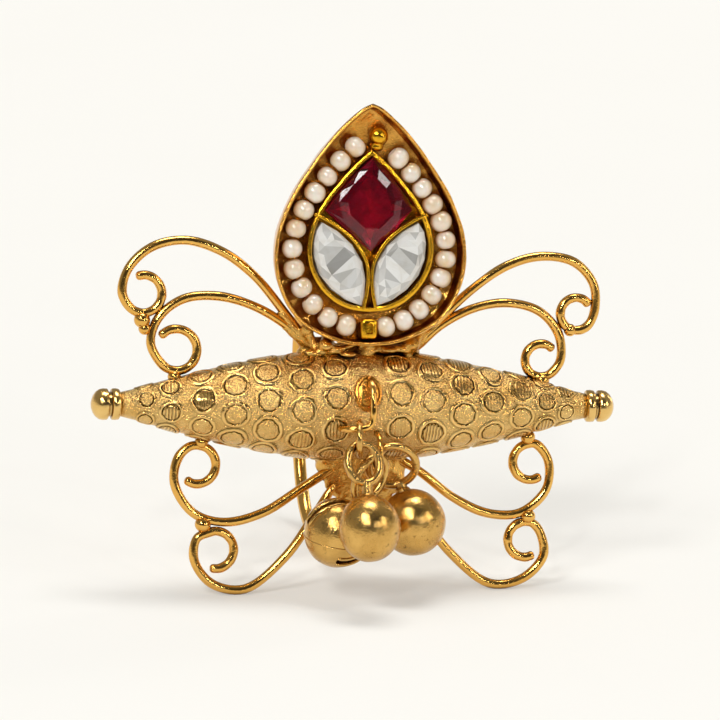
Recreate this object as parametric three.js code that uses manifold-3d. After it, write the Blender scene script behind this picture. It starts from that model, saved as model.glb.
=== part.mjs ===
// A statement ring. A spindle-shaped amulet tube lies across the finger. Above it stands a
// pear-shaped setting of pearls and three cut stones, four scrolls of wire run out on each side of
// both, an oval shank is soldered behind and three small hollow bells hang in front.
// Millimetres. The ring is drawn facing the viewer: X along the tube, Z up to the setting's point,
// Y back to the finger. It is then leaned back until its shank and its two lowest scrolls rest on
// the plane Z = 0, with the origin under the middle of the whole.

import * as THREE from "three";
import { ConvexGeometry } from "three/addons/geometries/ConvexGeometry.js";
import { mergeVertices } from "three/addons/utils/BufferGeometryUtils.js";
import Module from "manifold-3d";

const wasm = await Module();
wasm.setup();

// Driving dimensions
const TUBE_SIDES = 16;
const TUBE_ROLL = -1.2; // degrees, its right end a little lower
const BOSS_HEIGHT = 0.14;
const BOSS_SIDES = 8;
const WING_WIRE_RADIUS = 0.4;
const WING_WIRE_SIDES = 6;
const SHANK_WIRE_RADIUS = 0.55;
const SHANK_HALF_HEIGHT = 11.1; // to the middle of the wire, as is the next one
const SHANK_HALF_DEPTH = 9.5;
const SHANK_Y = 12.6;
const SHANK_Z = -1.0;
const SHANK_SQUARENESS = 2.5; // 2 is an ellipse
const SETTING_X = 0.52; // where the setting's own middle line crosses the tube
const SETTING_TURN = -1; // degrees, clockwise
const CUP_FRONT = -3.3;
const CUP_BACK = 0.3;
const CUP_WALL = 0.35;
const CUP_TAPER = 0.55; // how much smaller the cup's back is all round
const CHANNEL_FLOOR = -1.6;
const COLLET_FRONT = -3.15;
const STONE_GAP = 0.12;
const PEARL_RADIUS = 0.72;
const PEARLS_A_SIDE = 12;
const BELL_WALL = 0.35;
const LOOP_WIRE_RADIUS = 0.28;
const LINK_WIRE_RADIUS = 0.21; // of the jump link, the bail and the staple
const LOOP_WIRE_SIDES = 6;
const LINK_WIRE_SIDES = 6;
const TOP_BALL = { x: 0.65, y: -2.1, z: 21.65, radius: 0.76 }; // at the top of the channel
const FOOT_BEAD = { y: -2.2, z: 6.3, width: 1.2, depth: 1.5, height: 1.5 }; // at its foot
const MEDALLION = { x: 0.3, y: -4.25, face: 1.05, foot: 1.15, deep: 1.1, taller: 1.3, up: 17 };
const STAPLE = { x: 1.1, y: -3.95, z: -3.35, radius: 1.35 };

// The tube's outline from its middle to its end: distance along, radius. It ends in a collar, a
// groove and a domed cap.
const TUBE_OUTLINE = [
  { along: 0, radius: 4.35 },
  { along: 3.6, radius: 4.25 },
  { along: 7.4, radius: 3.72 },
  { along: 11.2, radius: 2.98 },
  { along: 14.8, radius: 2.1 },
  { along: 17.6, radius: 1.3 },
  { along: 19.05, radius: 0.98 },
  { along: 19.15, radius: 1.27 },
  { along: 19.7, radius: 1.27 },
  { along: 19.8, radius: 1.02 },
  { along: 19.95, radius: 1.02 },
  { along: 20.05, radius: 1.26 },
  { along: 20.75, radius: 1.18 },
  { along: 21.25, radius: 0.7 },
  { along: 21.4, radius: 0 },
];

// Columns of raised round bosses: where the column stands, its first boss and the step to the
// next in degrees up from the front, and the bosses' radius.
const BOSS_COLUMNS = [
  { x: -17.1, first: 20, step: 72, radius: 0.7 },
  { x: -15.2, first: -14, step: 60, radius: 0.88 },
  { x: -12.7, first: 13, step: 51, radius: 1.0 },
  { x: -10.2, first: -10, step: 43, radius: 1.08 },
  { x: -7.6, first: 10, step: 38.5, radius: 1.12 },
  { x: -4.9, first: -2, step: 36, radius: 1.12 },
  { x: -2.2, first: 12, step: 35.5, radius: 1.12 },
  { x: 3.0, first: -20, step: 37, radius: 1.12 },
  { x: 5.7, first: 10, step: 39, radius: 1.12 },
  { x: 8.3, first: -7, step: 39, radius: 1.12 },
  { x: 10.8, first: 10, step: 48, radius: 1.05 },
  { x: 13.3, first: -18, step: 51, radius: 1.0 },
  { x: 15.4, first: 14, step: 60, radius: 0.85 },
  { x: 17.2, first: -16, step: 72, radius: 0.7 },
];
const BOSS_REACH = 100; // degrees above and below the front; the back of the tube is plain

// The setting's half outlines, from the point down to the foot: half width, height
const CUP_OUTLINE = [
  { half: 0, z: 24.4 },
  { half: 1.15, z: 23.65 },
  { half: 2.5, z: 22.4 },
  { half: 3.9, z: 20.8 },
  { half: 5.1, z: 19.1 },
  { half: 6.2, z: 17.4 },
  { half: 7.1, z: 15.5 },
  { half: 7.65, z: 13.7 },
  { half: 7.8, z: 12.0 },
  { half: 7.6, z: 10.4 },
  { half: 6.9, z: 8.5 },
  { half: 5.7, z: 6.9 },
  { half: 3.8, z: 5.75 },
  { half: 1.9, z: 5.1 },
  { half: 0, z: 4.95 },
];
const COLLET_OUTLINE = [
  { half: 0, z: 20.6 },
  { half: 1.1, z: 19.7 },
  { half: 2.4, z: 18.3 },
  { half: 3.7, z: 16.7 },
  { half: 4.7, z: 14.9 },
  { half: 5.15, z: 13.1 },
  { half: 5.0, z: 11.4 },
  { half: 4.25, z: 9.8 },
  { half: 2.9, z: 8.45 },
  { half: 1.4, z: 7.8 },
  { half: 0, z: 7.65 },
];
// The middle of the channel that holds the pearls
const PEARL_PATH = [
  { half: 1.3, z: 20.8 },
  { half: 2.4, z: 19.75 },
  { half: 3.4, z: 18.6 },
  { half: 4.4, z: 17.3 },
  { half: 5.3, z: 15.95 },
  { half: 5.95, z: 14.6 },
  { half: 6.3, z: 12.9 },
  { half: 6.15, z: 11.2 },
  { half: 5.6, z: 9.8 },
  { half: 4.7, z: 8.4 },
  { half: 3.5, z: 7.3 },
  { half: 2.4, z: 6.75 },
  { half: 1.2, z: 6.4 },
];
// How far along that path the first and the last pearl of each side stand
const PEARL_RUNS = [
  { name: "left", side: -1, first: 0, last: 17.9 },
  { name: "right", side: 1, first: 1.3, last: 18.3 },
];

// Girdles of the cut stones as they lie in the setting, the white one's on the right: across, up
const RUBY_GIRDLE = [
  { x: 0.15, z: 19.85 },
  { x: -1.0, z: 18.8 },
  { x: -2.4, z: 17.25 },
  { x: -3.5, z: 15.75 },
  { x: -1.75, z: 14.2 },
  { x: 0.1, z: 12.62 },
  { x: 1.9, z: 14.1 },
  { x: 3.35, z: 15.85 },
  { x: 2.35, z: 17.5 },
  { x: 1.1, z: 19.0 },
];
const WHITE_GIRDLE = [
  { x: 3.9, z: 14.7 },
  { x: 2.6, z: 14.0 },
  { x: 1.45, z: 12.95 },
  { x: 0.66, z: 11.65 },
  { x: 0.38, z: 10.3 },
  { x: 0.44, z: 9.0 },
  { x: 0.65, z: 8.22 },
  { x: 1.85, z: 8.66 },
  { x: 3.05, z: 9.5 },
  { x: 3.97, z: 10.6 },
  { x: 4.44, z: 11.9 },
  { x: 4.52, z: 13.1 },
  { x: 4.34, z: 14.05 },
];
const STONES = [
  { name: "ruby", girdle: RUBY_GIRDLE, side: 1, x: 0.05, z: 16.2 },
  { name: "white_stone_left", girdle: WHITE_GIRDLE, side: -1, x: -2.55, z: 11.7 },
  { name: "white_stone_right", girdle: WHITE_GIRDLE, side: 1, x: 2.55, z: 11.7 },
];

// A stone from its back to its table: depth and size against its girdle
const STONE_LAYERS = [
  { y: CHANNEL_FLOOR - STONE_GAP, scale: 0.8 },
  { y: -2.75, scale: 1 },
  { y: -2.95, scale: 1 },
  { y: -3.7, scale: 0.62 },
];

// The wings. Each wire leaves its root, runs through its bow and ends in a curl: an arc round
// (x, z) from one angle to another, in degrees, whose radius grows to `open` at the wire's end.
const SCROLLS = {
  upper_left_outer: {
    bow: [
      { x: -3.9, z: 5.3 },
      { x: -5.7, z: 7.6 },
      { x: -8.0, z: 10.4 },
      { x: -10.6, z: 12.4 },
      { x: -13.6, z: 13.4 },
      { x: -16.4, z: 12.9 },
      { x: -18.3, z: 11.2 },
      { x: -18.8, z: 9.3 },
    ],
    curl: { x: -17.1, z: 9.15, radius: 1.5, open: 1.55, from: 222, to: 472 },
  },
  upper_left_inner: {
    bow: [
      { x: -3.6, z: 4.6 },
      { x: -5.4, z: 6.4 },
      { x: -8.0, z: 8.0 },
      { x: -11.0, z: 8.9 },
      { x: -13.9, z: 8.7 },
      { x: -15.9, z: 7.2 },
      { x: -16.5, z: 5.2 },
    ],
    curl: { x: -14.4, z: 4.6, radius: 1.6, open: 1.8, from: 222, to: 500 },
  },
  upper_right_outer: {
    bow: [
      { x: 5.2, z: 4.9 },
      { x: 7.4, z: 7.1 },
      { x: 9.8, z: 9.2 },
      { x: 12.6, z: 11.0 },
      { x: 15.4, z: 11.7 },
      { x: 18.1, z: 11.2 },
      { x: 19.7, z: 9.4 },
      { x: 19.8, z: 7.3 },
    ],
    curl: { x: 18.3, z: 7.05, radius: 1.35, open: 1.25, from: 318, to: 32 },
  },
  upper_right_inner: {
    bow: [
      { x: 4.9, z: 4.3 },
      { x: 7.0, z: 6.2 },
      { x: 9.8, z: 7.6 },
      { x: 12.6, z: 8.0 },
      { x: 15.2, z: 7.3 },
      { x: 16.8, z: 5.5 },
      { x: 17.0, z: 3.4 },
    ],
    curl: { x: 15.4, z: 3.35, radius: 1.35, open: 1.3, from: 318, to: 40 },
  },
  lower_left_inner: {
    bow: [
      { x: -1.2, z: -4.7 },
      { x: -4.4, z: -6.7 },
      { x: -7.4, z: -8.5 },
      { x: -10.5, z: -9.2 },
      { x: -13.1, z: -8.4 },
      { x: -14.6, z: -6.0 },
      { x: -14.3, z: -4.0 },
    ],
    curl: { x: -12.8, z: -4.6, radius: 1.6, open: 1.45, from: 112, to: -130 },
  },
  lower_left_outer: {
    foot: true,
    bow: [
      { x: -1.6, z: -6.4 },
      { x: -3.4, z: -9.1 },
      { x: -5.6, z: -12.1 },
      { x: -8.9, z: -14.6 },
      { x: -11.6, z: -14.1 },
      { x: -13.0, z: -12.2 },
      { x: -12.8, z: -10.5 },
    ],
    curl: { x: -11.3, z: -11.4, radius: 1.5, open: 1.55, from: 118, to: -106 },
  },
  lower_right_inner: {
    bow: [
      { x: 3.4, z: -4.2 },
      { x: 5.5, z: -5.5 },
      { x: 8.2, z: -7.6 },
      { x: 11.0, z: -8.9 },
      { x: 13.7, z: -8.9 },
      { x: 15.8, z: -7.1 },
      { x: 16.0, z: -4.8 },
    ],
    curl: { x: 14.55, z: -4.85, radius: 1.5, open: 1.4, from: 72, to: 306 },
  },
  lower_right_outer: {
    foot: true,
    bow: [
      { x: 3.6, z: -6.2 },
      { x: 5.4, z: -8.7 },
      { x: 7.9, z: -12.0 },
      { x: 11.2, z: -14.57 },
      { x: 13.9, z: -14.2 },
      { x: 15.6, z: -12.4 },
      { x: 15.3, z: -10.5 },
    ],
    curl: { x: 14.1, z: -11.1, radius: 1.45, open: 1.4, from: 68, to: 300 },
  },
};

// The bells, each with its own closed loop. The front one hangs on the jump link, the two behind
// it on the staple. A cut is a slit that leaves the bell's middle `away`, `half` degrees wide to
// each side along `side`.
const BELLS = [
  {
    name: "bell_front",
    centre: { x: -0.4, y: -8.1, z: -9.15 },
    radius: 2.5,
    tall: 2.68,
    loop: {
      centre: { x: -0.6, y: -6.8, z: -4.08 },
      across: { x: 1, y: 0.15, z: 0 },
      up: { x: -0.1, y: 0.29, z: 1 },
      halfAcross: 1.33,
      halfUp: 1.6,
    },
    cuts: [{ away: { x: 0.1, y: 0.75, z: -1 }, side: { x: 1, y: 0, z: 0 }, half: 58, width: 0.4 }],
  },
  {
    name: "bell_left",
    centre: { x: -2.0, y: -3.15, z: -9.95 },
    radius: 2.7,
    tall: 2.7,
    loop: {
      centre: { x: 0.4, y: -4.45, z: -5.52 },
      across: { x: 0.9, y: 0.44, z: 0 },
      up: { x: 0.53, y: 0.03, z: 1 },
      halfAcross: 1.3,
      halfUp: 1.9,
    },
    cuts: [
      { away: { x: 4.2, y: -6, z: -6.8 }, side: { x: 8.5, y: -2, z: -3 }, half: 40, width: 0.74 },
      { away: { x: -5, y: -3.4, z: 8 }, side: { x: 8.3, y: -1.4, z: 5 }, half: 40, width: 0.66 },
    ],
  },
  {
    name: "bell_right",
    centre: { x: 4.15, y: -3.3, z: -9.2 },
    radius: 2.6,
    tall: 2.65,
    loop: {
      centre: { x: 2.4, y: -3.4, z: -4.6 },
      across: { x: 0.88, y: 0.12, z: -0.46 },
      up: { x: -0.12, y: -0.58, z: 1 },
      halfAcross: 1.93,
      halfUp: 1.9,
    },
    cuts: [{ away: { x: 0.5, y: 0.8, z: -1 }, side: { x: 1, y: 0, z: 0.5 }, half: 60, width: 0.4 }],
  },
];

// The bail on the tube's front: it stands up out of the wall, comes forward and turns off to the
// left at its foot, where the jump link rides on it
const BAIL_UPRIGHT = [
  { x: 0.45, y: -3.4, z: 2.3 },
  { x: 0.45, y: -4.6, z: 2.25 },
  { x: 0.45, y: -5.3, z: 1.7 },
  { x: 0.45, y: -5.6, z: 0.8 },
  { x: 0.45, y: -5.65, z: -0.2 },
  { x: 0.45, y: -5.6, z: -1.1 },
];
const BAIL_FOOT = [
  { x: 0.62, y: -5.62, z: -1.47 },
  { x: -0.4, y: -5.62, z: -1.47 },
  { x: -1.5, y: -5.3, z: -1.47 },
  { x: -1.9, y: -4.7, z: -1.47 },
  { x: -1.9, y: -3.6, z: -1.47 },
];
const BAIL_CORNER = { x: 0.5, y: -5.6, z: -1.35, radius: 0.36 };

// Corners of the lump under the tube where the lower scrolls end
const LUG_CORNERS = [
  { x: -2.7, y: -0.7, z: -3.6 },
  { x: 1.0, y: -1.2, z: -3.7 },
  { x: 4.2, y: -0.6, z: -3.5 },
  { x: 4.4, y: 1.4, z: -3.6 },
  { x: 0.8, y: 2.5, z: -3.5 },
  { x: -2.9, y: 1.3, z: -3.6 },
  { x: -3.1, y: 0.5, z: -5.2 },
  { x: 4.5, y: 0.4, z: -5.4 },
  { x: -2.2, y: 0.4, z: -6.8 },
  { x: 3.9, y: 0.5, z: -6.9 },
  { x: 0.7, y: 2.4, z: -6.4 },
  { x: 0.2, y: 1.1, z: -8.9 },
  { x: 2.6, y: 1.0, z: -8.7 },
  { x: 1.4, y: 2.1, z: -8.6 },
];

// Struts between the tube and the setting
const STRUTS = [
  { x: -2.3, y: -0.9, low: 3.4, high: 6.2, radius: 0.5 },
  { x: 0.9, y: -0.65, low: 3.6, high: 6.2, radius: 0.9 },
  { x: 4.2, y: -0.8, low: 3.4, high: 6.4, radius: 0.5 },
];

// Granules and blobs of solder: where they stand and their radius
const GRANULES = [
  { x: -17.2, y: 0, z: 7.1, radius: 0.66 },
  { x: -17.0, y: 0, z: 6.4, radius: 0.5 },
  { x: 17.75, y: 0, z: 5.75, radius: 0.5 },
  { x: -14.6, y: 0, z: 2.5, radius: 0.55 },
  { x: 15.5, y: 0, z: 1.7, radius: 0.55 },
  { x: -12.4, y: 0, z: -2.75, radius: 0.55 },
  { x: 14.3, y: 0, z: -2.85, radius: 0.6 },
  { x: -12.3, y: 0, z: -9.35, radius: 0.66 },
  { x: 14.3, y: 0, z: -9.2, radius: 0.62 },
  { x: -2.3, y: -0.9, z: 4.9, radius: 0.62 },
  { x: 4.2, y: -0.8, z: 4.85, radius: 0.6 },
  { x: -4.0, y: -0.4, z: 6.2, radius: 0.55 },
];

// One finish to a kind of piece
const GOLD = { color: 0xd9a441, roughness: 0.22, metalness: 1 };
const BELL_GOLD = { color: 0xc4953a, roughness: 0.4, metalness: 1 };
const PEARL = { color: 0xe9ded2, roughness: 0.3, metalness: 0 };
const RUBY = { color: 0xa50e35, roughness: 0.05, metalness: 0 };
const CLEAR = { color: 0xdfe0df, roughness: 0.04, metalness: 0 };

const vec = ({ x, y = 0, z }) => new THREE.Vector3(x, y, z);
const rad = THREE.MathUtils.degToRad;

// A closed body from a geometry, with its split corners joined again
function solid(geometry) {
  const plain = geometry.clone();
  plain.deleteAttribute("uv");
  plain.deleteAttribute("normal");
  const joined = mergeVertices(plain, 1e-5);
  const body = new wasm.Mesh({
    numProp: 3,
    vertProperties: new Float32Array(joined.attributes.position.array),
    triVerts: new Uint32Array(joined.index.array),
  });
  return new wasm.Manifold(body);
}

function join(bodies) {
  return wasm.Manifold.union(bodies);
}

function mesh(name, body, finish) {
  const data = body.getMesh();
  const geometry = new THREE.BufferGeometry();
  geometry.setAttribute("position", new THREE.BufferAttribute(data.vertProperties, 3));
  geometry.setIndex(new THREE.BufferAttribute(data.triVerts, 1));
  geometry.computeVertexNormals();
  const piece = new THREE.Mesh(geometry, new THREE.MeshStandardMaterial(finish));
  piece.name = name;
  return piece;
}

// A wire of even thickness along points that lie in one plane; `across` is that plane's normal
function wire(points, across, radius, sides, closed) {
  const count = points.length;
  const positions = [];
  const faces = [];
  points.forEach((point, i) => {
    const before = closed ? points[(i - 1 + count) % count] : points[Math.max(i - 1, 0)];
    const after = closed ? points[(i + 1) % count] : points[Math.min(i + 1, count - 1)];
    const along = after.clone().sub(before).normalize();
    const out = along.clone().cross(across).normalize();
    const over = out.clone().cross(along);
    for (let side = 0; side < sides; side += 1) {
      const angle = ((side + 0.5) * 2 * Math.PI) / sides;
      const corner = point.clone();
      corner.addScaledVector(out, radius * Math.cos(angle));
      corner.addScaledVector(over, radius * Math.sin(angle));
      positions.push(corner.x, corner.y, corner.z);
    }
  });
  const rings = closed ? count : count - 1;
  for (let ring = 0; ring < rings; ring += 1) {
    const here = ring * sides;
    const next = ((ring + 1) % count) * sides;
    for (let side = 0; side < sides; side += 1) {
      const other = (side + 1) % sides;
      faces.push(here + side, next + side, here + other);
      faces.push(here + other, next + side, next + other);
    }
  }
  if (!closed) {
    const end = (count - 1) * sides;
    for (let side = 1; side < sides - 1; side += 1) {
      faces.push(0, side, side + 1);
      faces.push(end, end + side + 1, end + side);
    }
  }
  const geometry = new THREE.BufferGeometry();
  geometry.setAttribute("position", new THREE.Float32BufferAttribute(positions, 3));
  geometry.setIndex(faces);
  return solid(geometry);
}

function ball(radius, centre, sides = 10, rings = 6) {
  const geometry = new THREE.SphereGeometry(radius, sides, rings);
  geometry.rotateX(Math.PI / 2);
  geometry.translate(centre.x, centre.y, centre.z);
  return solid(geometry);
}

// A plate with an outline in X and Z between two depths
function plate(points, front, back) {
  const shape = new THREE.Shape(points.map((point) => new THREE.Vector2(point.x, point.z)));
  const geometry = new THREE.ExtrudeGeometry(shape, { depth: back - front, bevelEnabled: false });
  geometry.rotateX(Math.PI / 2);
  geometry.translate(0, back, 0);
  return solid(geometry);
}

// A body through rings of points with the same count, from back to front, with flat ends
function loft(rings) {
  const sides = rings[0].length;
  const last = (rings.length - 1) * sides;
  const faces = [];
  for (let side = 1; side < sides - 1; side += 1) {
    faces.push(0, side, side + 1);
    faces.push(last, last + side + 1, last + side);
  }
  for (let start = 0; start < last; start += sides) {
    for (let side = 0; side < sides; side += 1) {
      const a = start + side;
      const b = start + ((side + 1) % sides);
      faces.push(a, a + sides, b);
      faces.push(b, a + sides, b + sides);
    }
  }
  const geometry = new THREE.BufferGeometry();
  const positions = rings.flat().flatMap((point) => [point.x, point.y, point.z]);
  geometry.setAttribute("position", new THREE.Float32BufferAttribute(positions, 3));
  geometry.setIndex(faces);
  return solid(geometry);
}

const atDepth = (points, y) => points.map((point) => ({ x: point.x, y, z: point.z }));

// Both halves of an outline, moved inwards by `inset`
function outline(halves, inset = 0) {
  const right = halves.map((point) => ({ x: point.half, z: point.z }));
  const left = halves.slice(1, -1).reverse().map((point) => ({ x: -point.half, z: point.z }));
  return shrink(right.concat(left), inset);
}

function shrink(points, inset) {
  const count = points.length;
  return points.map((point, i) => {
    const before = points[(i - 1 + count) % count];
    const after = points[(i + 1) % count];
    const one = edgeNormal(before, point);
    const two = edgeNormal(point, after);
    const scale = inset / (1 + one.dot(two));
    return { x: point.x + (one.x + two.x) * scale, z: point.z + (one.y + two.y) * scale };
  });
}

// The way inwards from an edge of a polygon that runs clockwise
function edgeNormal(from, to) {
  return new THREE.Vector2(to.z - from.z, from.x - to.x).normalize();
}

function tube() {
  const half = TUBE_OUTLINE.map((row) => new THREE.Vector2(row.radius, row.along));
  const other = TUBE_OUTLINE.slice(1).reverse();
  const whole = other.map((row) => new THREE.Vector2(row.radius, -row.along)).concat(half);
  const body = new THREE.LatheGeometry(whole, TUBE_SIDES);
  body.rotateY(Math.PI / TUBE_SIDES);
  body.rotateZ(-Math.PI / 2);
  return solid(body);
}

// The tube's radius and the outward lean of its wall at a distance from its middle
function tubeAt(x) {
  const along = Math.abs(x);
  const next = TUBE_OUTLINE.findIndex((row) => row.along > along);
  const a = TUBE_OUTLINE[next - 1];
  const b = TUBE_OUTLINE[next];
  const slope = (b.radius - a.radius) / (b.along - a.along);
  return { radius: a.radius + slope * (along - a.along), lean: -slope * Math.sign(x) };
}

function boss(x, angle, radius) {
  const wall = tubeAt(x);
  const out = new THREE.Vector3(wall.lean, -Math.cos(angle), Math.sin(angle)).normalize();
  const foot = new THREE.Vector3(x, -wall.radius * Math.cos(angle), wall.radius * Math.sin(angle));
  const sunk = 0.45;
  const geometry = new THREE.CylinderGeometry(radius * 0.93, radius, sunk + BOSS_HEIGHT, BOSS_SIDES);
  geometry.translate(0, (BOSS_HEIGHT - sunk) / 2, 0);
  geometry.applyQuaternion(new THREE.Quaternion().setFromUnitVectors(new THREE.Vector3(0, 1, 0), out));
  geometry.translate(foot.x, foot.y, foot.z);
  return solid(geometry);
}

function bosses() {
  const all = [];
  for (const column of BOSS_COLUMNS) {
    const lowest = Math.ceil((-BOSS_REACH - column.first) / column.step);
    for (let k = lowest; column.first + k * column.step <= BOSS_REACH; k += 1) {
      all.push(boss(column.x, rad(column.first + k * column.step), column.radius));
    }
  }
  return all;
}

function scroll({ bow, curl }) {
  const points = bow.map(vec);
  const steps = Math.ceil(Math.abs(curl.to - curl.from) / 32);
  for (let i = 0; i <= steps; i += 1) {
    const share = i / steps;
    const angle = rad(curl.from + (curl.to - curl.from) * share);
    const reach = curl.radius + (curl.open - curl.radius) * share * share;
    const x = curl.x + reach * Math.cos(angle);
    points.push(new THREE.Vector3(x, 0, curl.z + reach * Math.sin(angle)));
  }
  const path = new THREE.CatmullRomCurve3(points, false, "centripetal");
  const line = path.getPoints(Math.round((points.length - 1) * 1.75));
  return wire(line, new THREE.Vector3(0, 1, 0), WING_WIRE_RADIUS, WING_WIRE_SIDES, false);
}

function ellipse(centre, across, up, halfAcross, halfUp, count) {
  const points = [];
  for (let i = 0; i < count; i += 1) {
    const angle = (i * 2 * Math.PI) / count;
    const point = centre.clone().addScaledVector(across, halfAcross * Math.cos(angle));
    points.push(point.addScaledVector(up, halfUp * Math.sin(angle)));
  }
  return points;
}

function ring(centre, across, up, halfAcross, halfUp, radius, sides, count) {
  const points = ellipse(centre, across, up, halfAcross, halfUp, count);
  return wire(points, across.clone().cross(up).normalize(), radius, sides, true);
}

// The middle of the shank's wire: a squared oval round the finger
function shankLine() {
  const points = [];
  const count = 44;
  const bend = (value) => Math.sign(value) * Math.abs(value) ** (2 / SHANK_SQUARENESS);
  for (let i = 0; i < count; i += 1) {
    const angle = (i * 2 * Math.PI) / count;
    const y = SHANK_Y + SHANK_HALF_DEPTH * bend(Math.cos(angle));
    points.push(new THREE.Vector3(0, y, SHANK_Z + SHANK_HALF_HEIGHT * bend(Math.sin(angle))));
  }
  return points;
}

function shank() {
  return wire(shankLine(), new THREE.Vector3(1, 0, 0), SHANK_WIRE_RADIUS, 8, true);
}

function lug() {
  return solid(new ConvexGeometry(LUG_CORNERS.map(vec)));
}

function bail() {
  const sideways = new THREE.Vector3(1, 0, 0);
  const upwards = new THREE.Vector3(0, 0, 1);
  const post = wire(BAIL_UPRIGHT.map(vec), sideways, LINK_WIRE_RADIUS, LINK_WIRE_SIDES, false);
  const bar = wire(BAIL_FOOT.map(vec), upwards, LINK_WIRE_RADIUS, LINK_WIRE_SIDES, false);
  return join([post, bar, ball(BAIL_CORNER.radius, BAIL_CORNER, 8, 5)]);
}

// The staple under the tube's front, hidden behind the front bell's loop
function staple() {
  const forward = new THREE.Vector3(0, 1, 0);
  const up = new THREE.Vector3(0, 0, 1);
  const { radius } = STAPLE;
  return ring(vec(STAPLE), forward, up, radius, radius, LINK_WIRE_RADIUS, LINK_WIRE_SIDES, 14);
}

// The oval plate behind the bail
function medallion() {
  const geometry = new THREE.CylinderGeometry(MEDALLION.face, MEDALLION.foot, MEDALLION.deep, 12);
  geometry.scale(1, 1, MEDALLION.taller);
  geometry.translate(0, MEDALLION.y, 0);
  return solid(geometry).rotate([-MEDALLION.up, 0, 0]).translate([MEDALLION.x, 0, 0]);
}

function strut({ x, y, low, high, radius }) {
  const geometry = new THREE.CylinderGeometry(radius, radius, high - low, 8);
  geometry.rotateX(Math.PI / 2);
  geometry.translate(x, y, (low + high) / 2);
  return solid(geometry);
}

// The setting in its own place: a cup with the collet standing in it, pockets for the stones, a
// ball at the top of the channel and a squared bead at its foot
function setting() {
  const back = atDepth(outline(CUP_OUTLINE, CUP_TAPER), CUP_BACK);
  const cup = loft([back, atDepth(outline(CUP_OUTLINE), CUP_FRONT)]);
  const channel = plate(outline(CUP_OUTLINE, CUP_WALL), CUP_FRONT - 1, CHANNEL_FLOOR);
  const collet = plate(outline(COLLET_OUTLINE), COLLET_FRONT, CHANNEL_FLOOR + 0.2);
  const pockets = STONES.map((stone) => plate(placed(stone, -STONE_GAP), -5, CHANNEL_FLOOR));
  const foot = new THREE.BoxGeometry(FOOT_BEAD.width, FOOT_BEAD.depth, FOOT_BEAD.height);
  foot.translate(0, FOOT_BEAD.y, FOOT_BEAD.z);
  const metal = join([cup.subtract(channel), collet, solid(foot)]);
  return join([metal.subtract(join(pockets)), ball(TOP_BALL.radius, TOP_BALL, 12, 8)]);
}

// A stone's girdle, clockwise from the front
function placed({ girdle, side }, inset) {
  const points = girdle.map(({ x, z }) => ({ x: x * side, z }));
  return shrink(side > 0 ? points.reverse() : points, inset);
}

// A cut stone: a flat back, a girdle, eight or more crown facets and a table
function cutStone(stone) {
  const girdle = placed(stone, 0);
  const rings = STONE_LAYERS.map(({ y, scale }) =>
    girdle.map((point) => ({
      x: stone.x + (point.x - stone.x) * scale,
      y,
      z: stone.z + (point.z - stone.z) * scale,
    })),
  );
  return loft(rings);
}

function inSetting(body) {
  return body.rotate([0, -SETTING_TURN, 0]).translate([SETTING_X, 0, 0]);
}

// Pearls of one side, evenly spaced along the channel's middle
function pearls({ name, side, first, last }) {
  const path = new THREE.CurvePath();
  PEARL_PATH.slice(1).forEach((point, i) => {
    const from = new THREE.Vector3(side * PEARL_PATH[i].half, 0, PEARL_PATH[i].z);
    path.add(new THREE.LineCurve3(from, new THREE.Vector3(side * point.half, 0, point.z)));
  });
  const length = path.getLength();
  const list = [];
  for (let i = 0; i < PEARLS_A_SIDE; i += 1) {
    const run = first + ((last - first) * i) / (PEARLS_A_SIDE - 1);
    const centre = path.getPointAt(Math.min(run / length, 1));
    centre.y = CHANNEL_FLOOR - PEARL_RADIUS - 0.3;
    const body = inSetting(ball(PEARL_RADIUS, centre, 10, 5));
    list.push(mesh(`pearl_${name}_${String(i + 1).padStart(2, "0")}`, body, PEARL));
  }
  return list;
}

function bellCut({ centre, radius }, { away, side, half, width }) {
  const middle = vec(away).normalize();
  const cross = vec(side);
  cross.addScaledVector(middle, -cross.dot(middle)).normalize();
  const normal = middle.clone().cross(cross);
  const points = [new THREE.Vector3()];
  for (let angle = -half; angle <= half; angle += half / 3) {
    const arm = middle.clone().multiplyScalar(Math.cos(rad(angle)));
    points.push(arm.addScaledVector(cross, Math.sin(rad(angle))).multiplyScalar(radius * 1.6));
  }
  const both = [];
  for (const point of points) {
    both.push(point.clone().addScaledVector(normal, width / 2).add(vec(centre)));
    both.push(point.clone().addScaledVector(normal, -width / 2).add(vec(centre)));
  }
  return solid(new ConvexGeometry(both));
}

function bell(row) {
  const outer = ball(row.radius, { x: 0, y: 0, z: 0 }, 14, 8).scale([1, 1, row.tall / row.radius]);
  const inner = ball(row.radius - BELL_WALL, { x: 0, y: 0, z: 0 }, 10, 6);
  const place = [row.centre.x, row.centre.y, row.centre.z];
  const cuts = row.cuts.map((cut) => bellCut(row, cut));
  const shell = outer.subtract(inner).translate(place).subtract(join(cuts));
  const { centre, across, up, halfAcross, halfUp } = row.loop;
  const e2 = vec(up).normalize();
  const e1 = vec(across);
  e1.addScaledVector(e2, -e1.dot(e2)).normalize();
  const hung = ring(vec(centre), e1, e2, halfAcross, halfUp, LOOP_WIRE_RADIUS, LOOP_WIRE_SIDES, 12);
  return mesh(row.name, join([shell, hung, neck(row, e1, e2)]), BELL_GOLD);
}

// The short stem from the loop's lowest wire into the bell's crown
function neck(row, e1, e2) {
  const { centre, halfAcross, halfUp } = row.loop;
  const middle = vec(row.centre);
  const loop = ellipse(vec(centre), e1, e2, halfAcross, halfUp, 36);
  const nearest = loop.reduce((a, b) => (a.distanceTo(middle) < b.distanceTo(middle) ? a : b));
  const away = nearest.clone().sub(middle).normalize();
  const inside = middle.clone().addScaledVector(away, row.radius - BELL_WALL * 0.8);
  const across = away.clone().cross(new THREE.Vector3(0, 1, 0)).normalize();
  return wire([inside, nearest], across, 0.42, 8, false);
}

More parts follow.
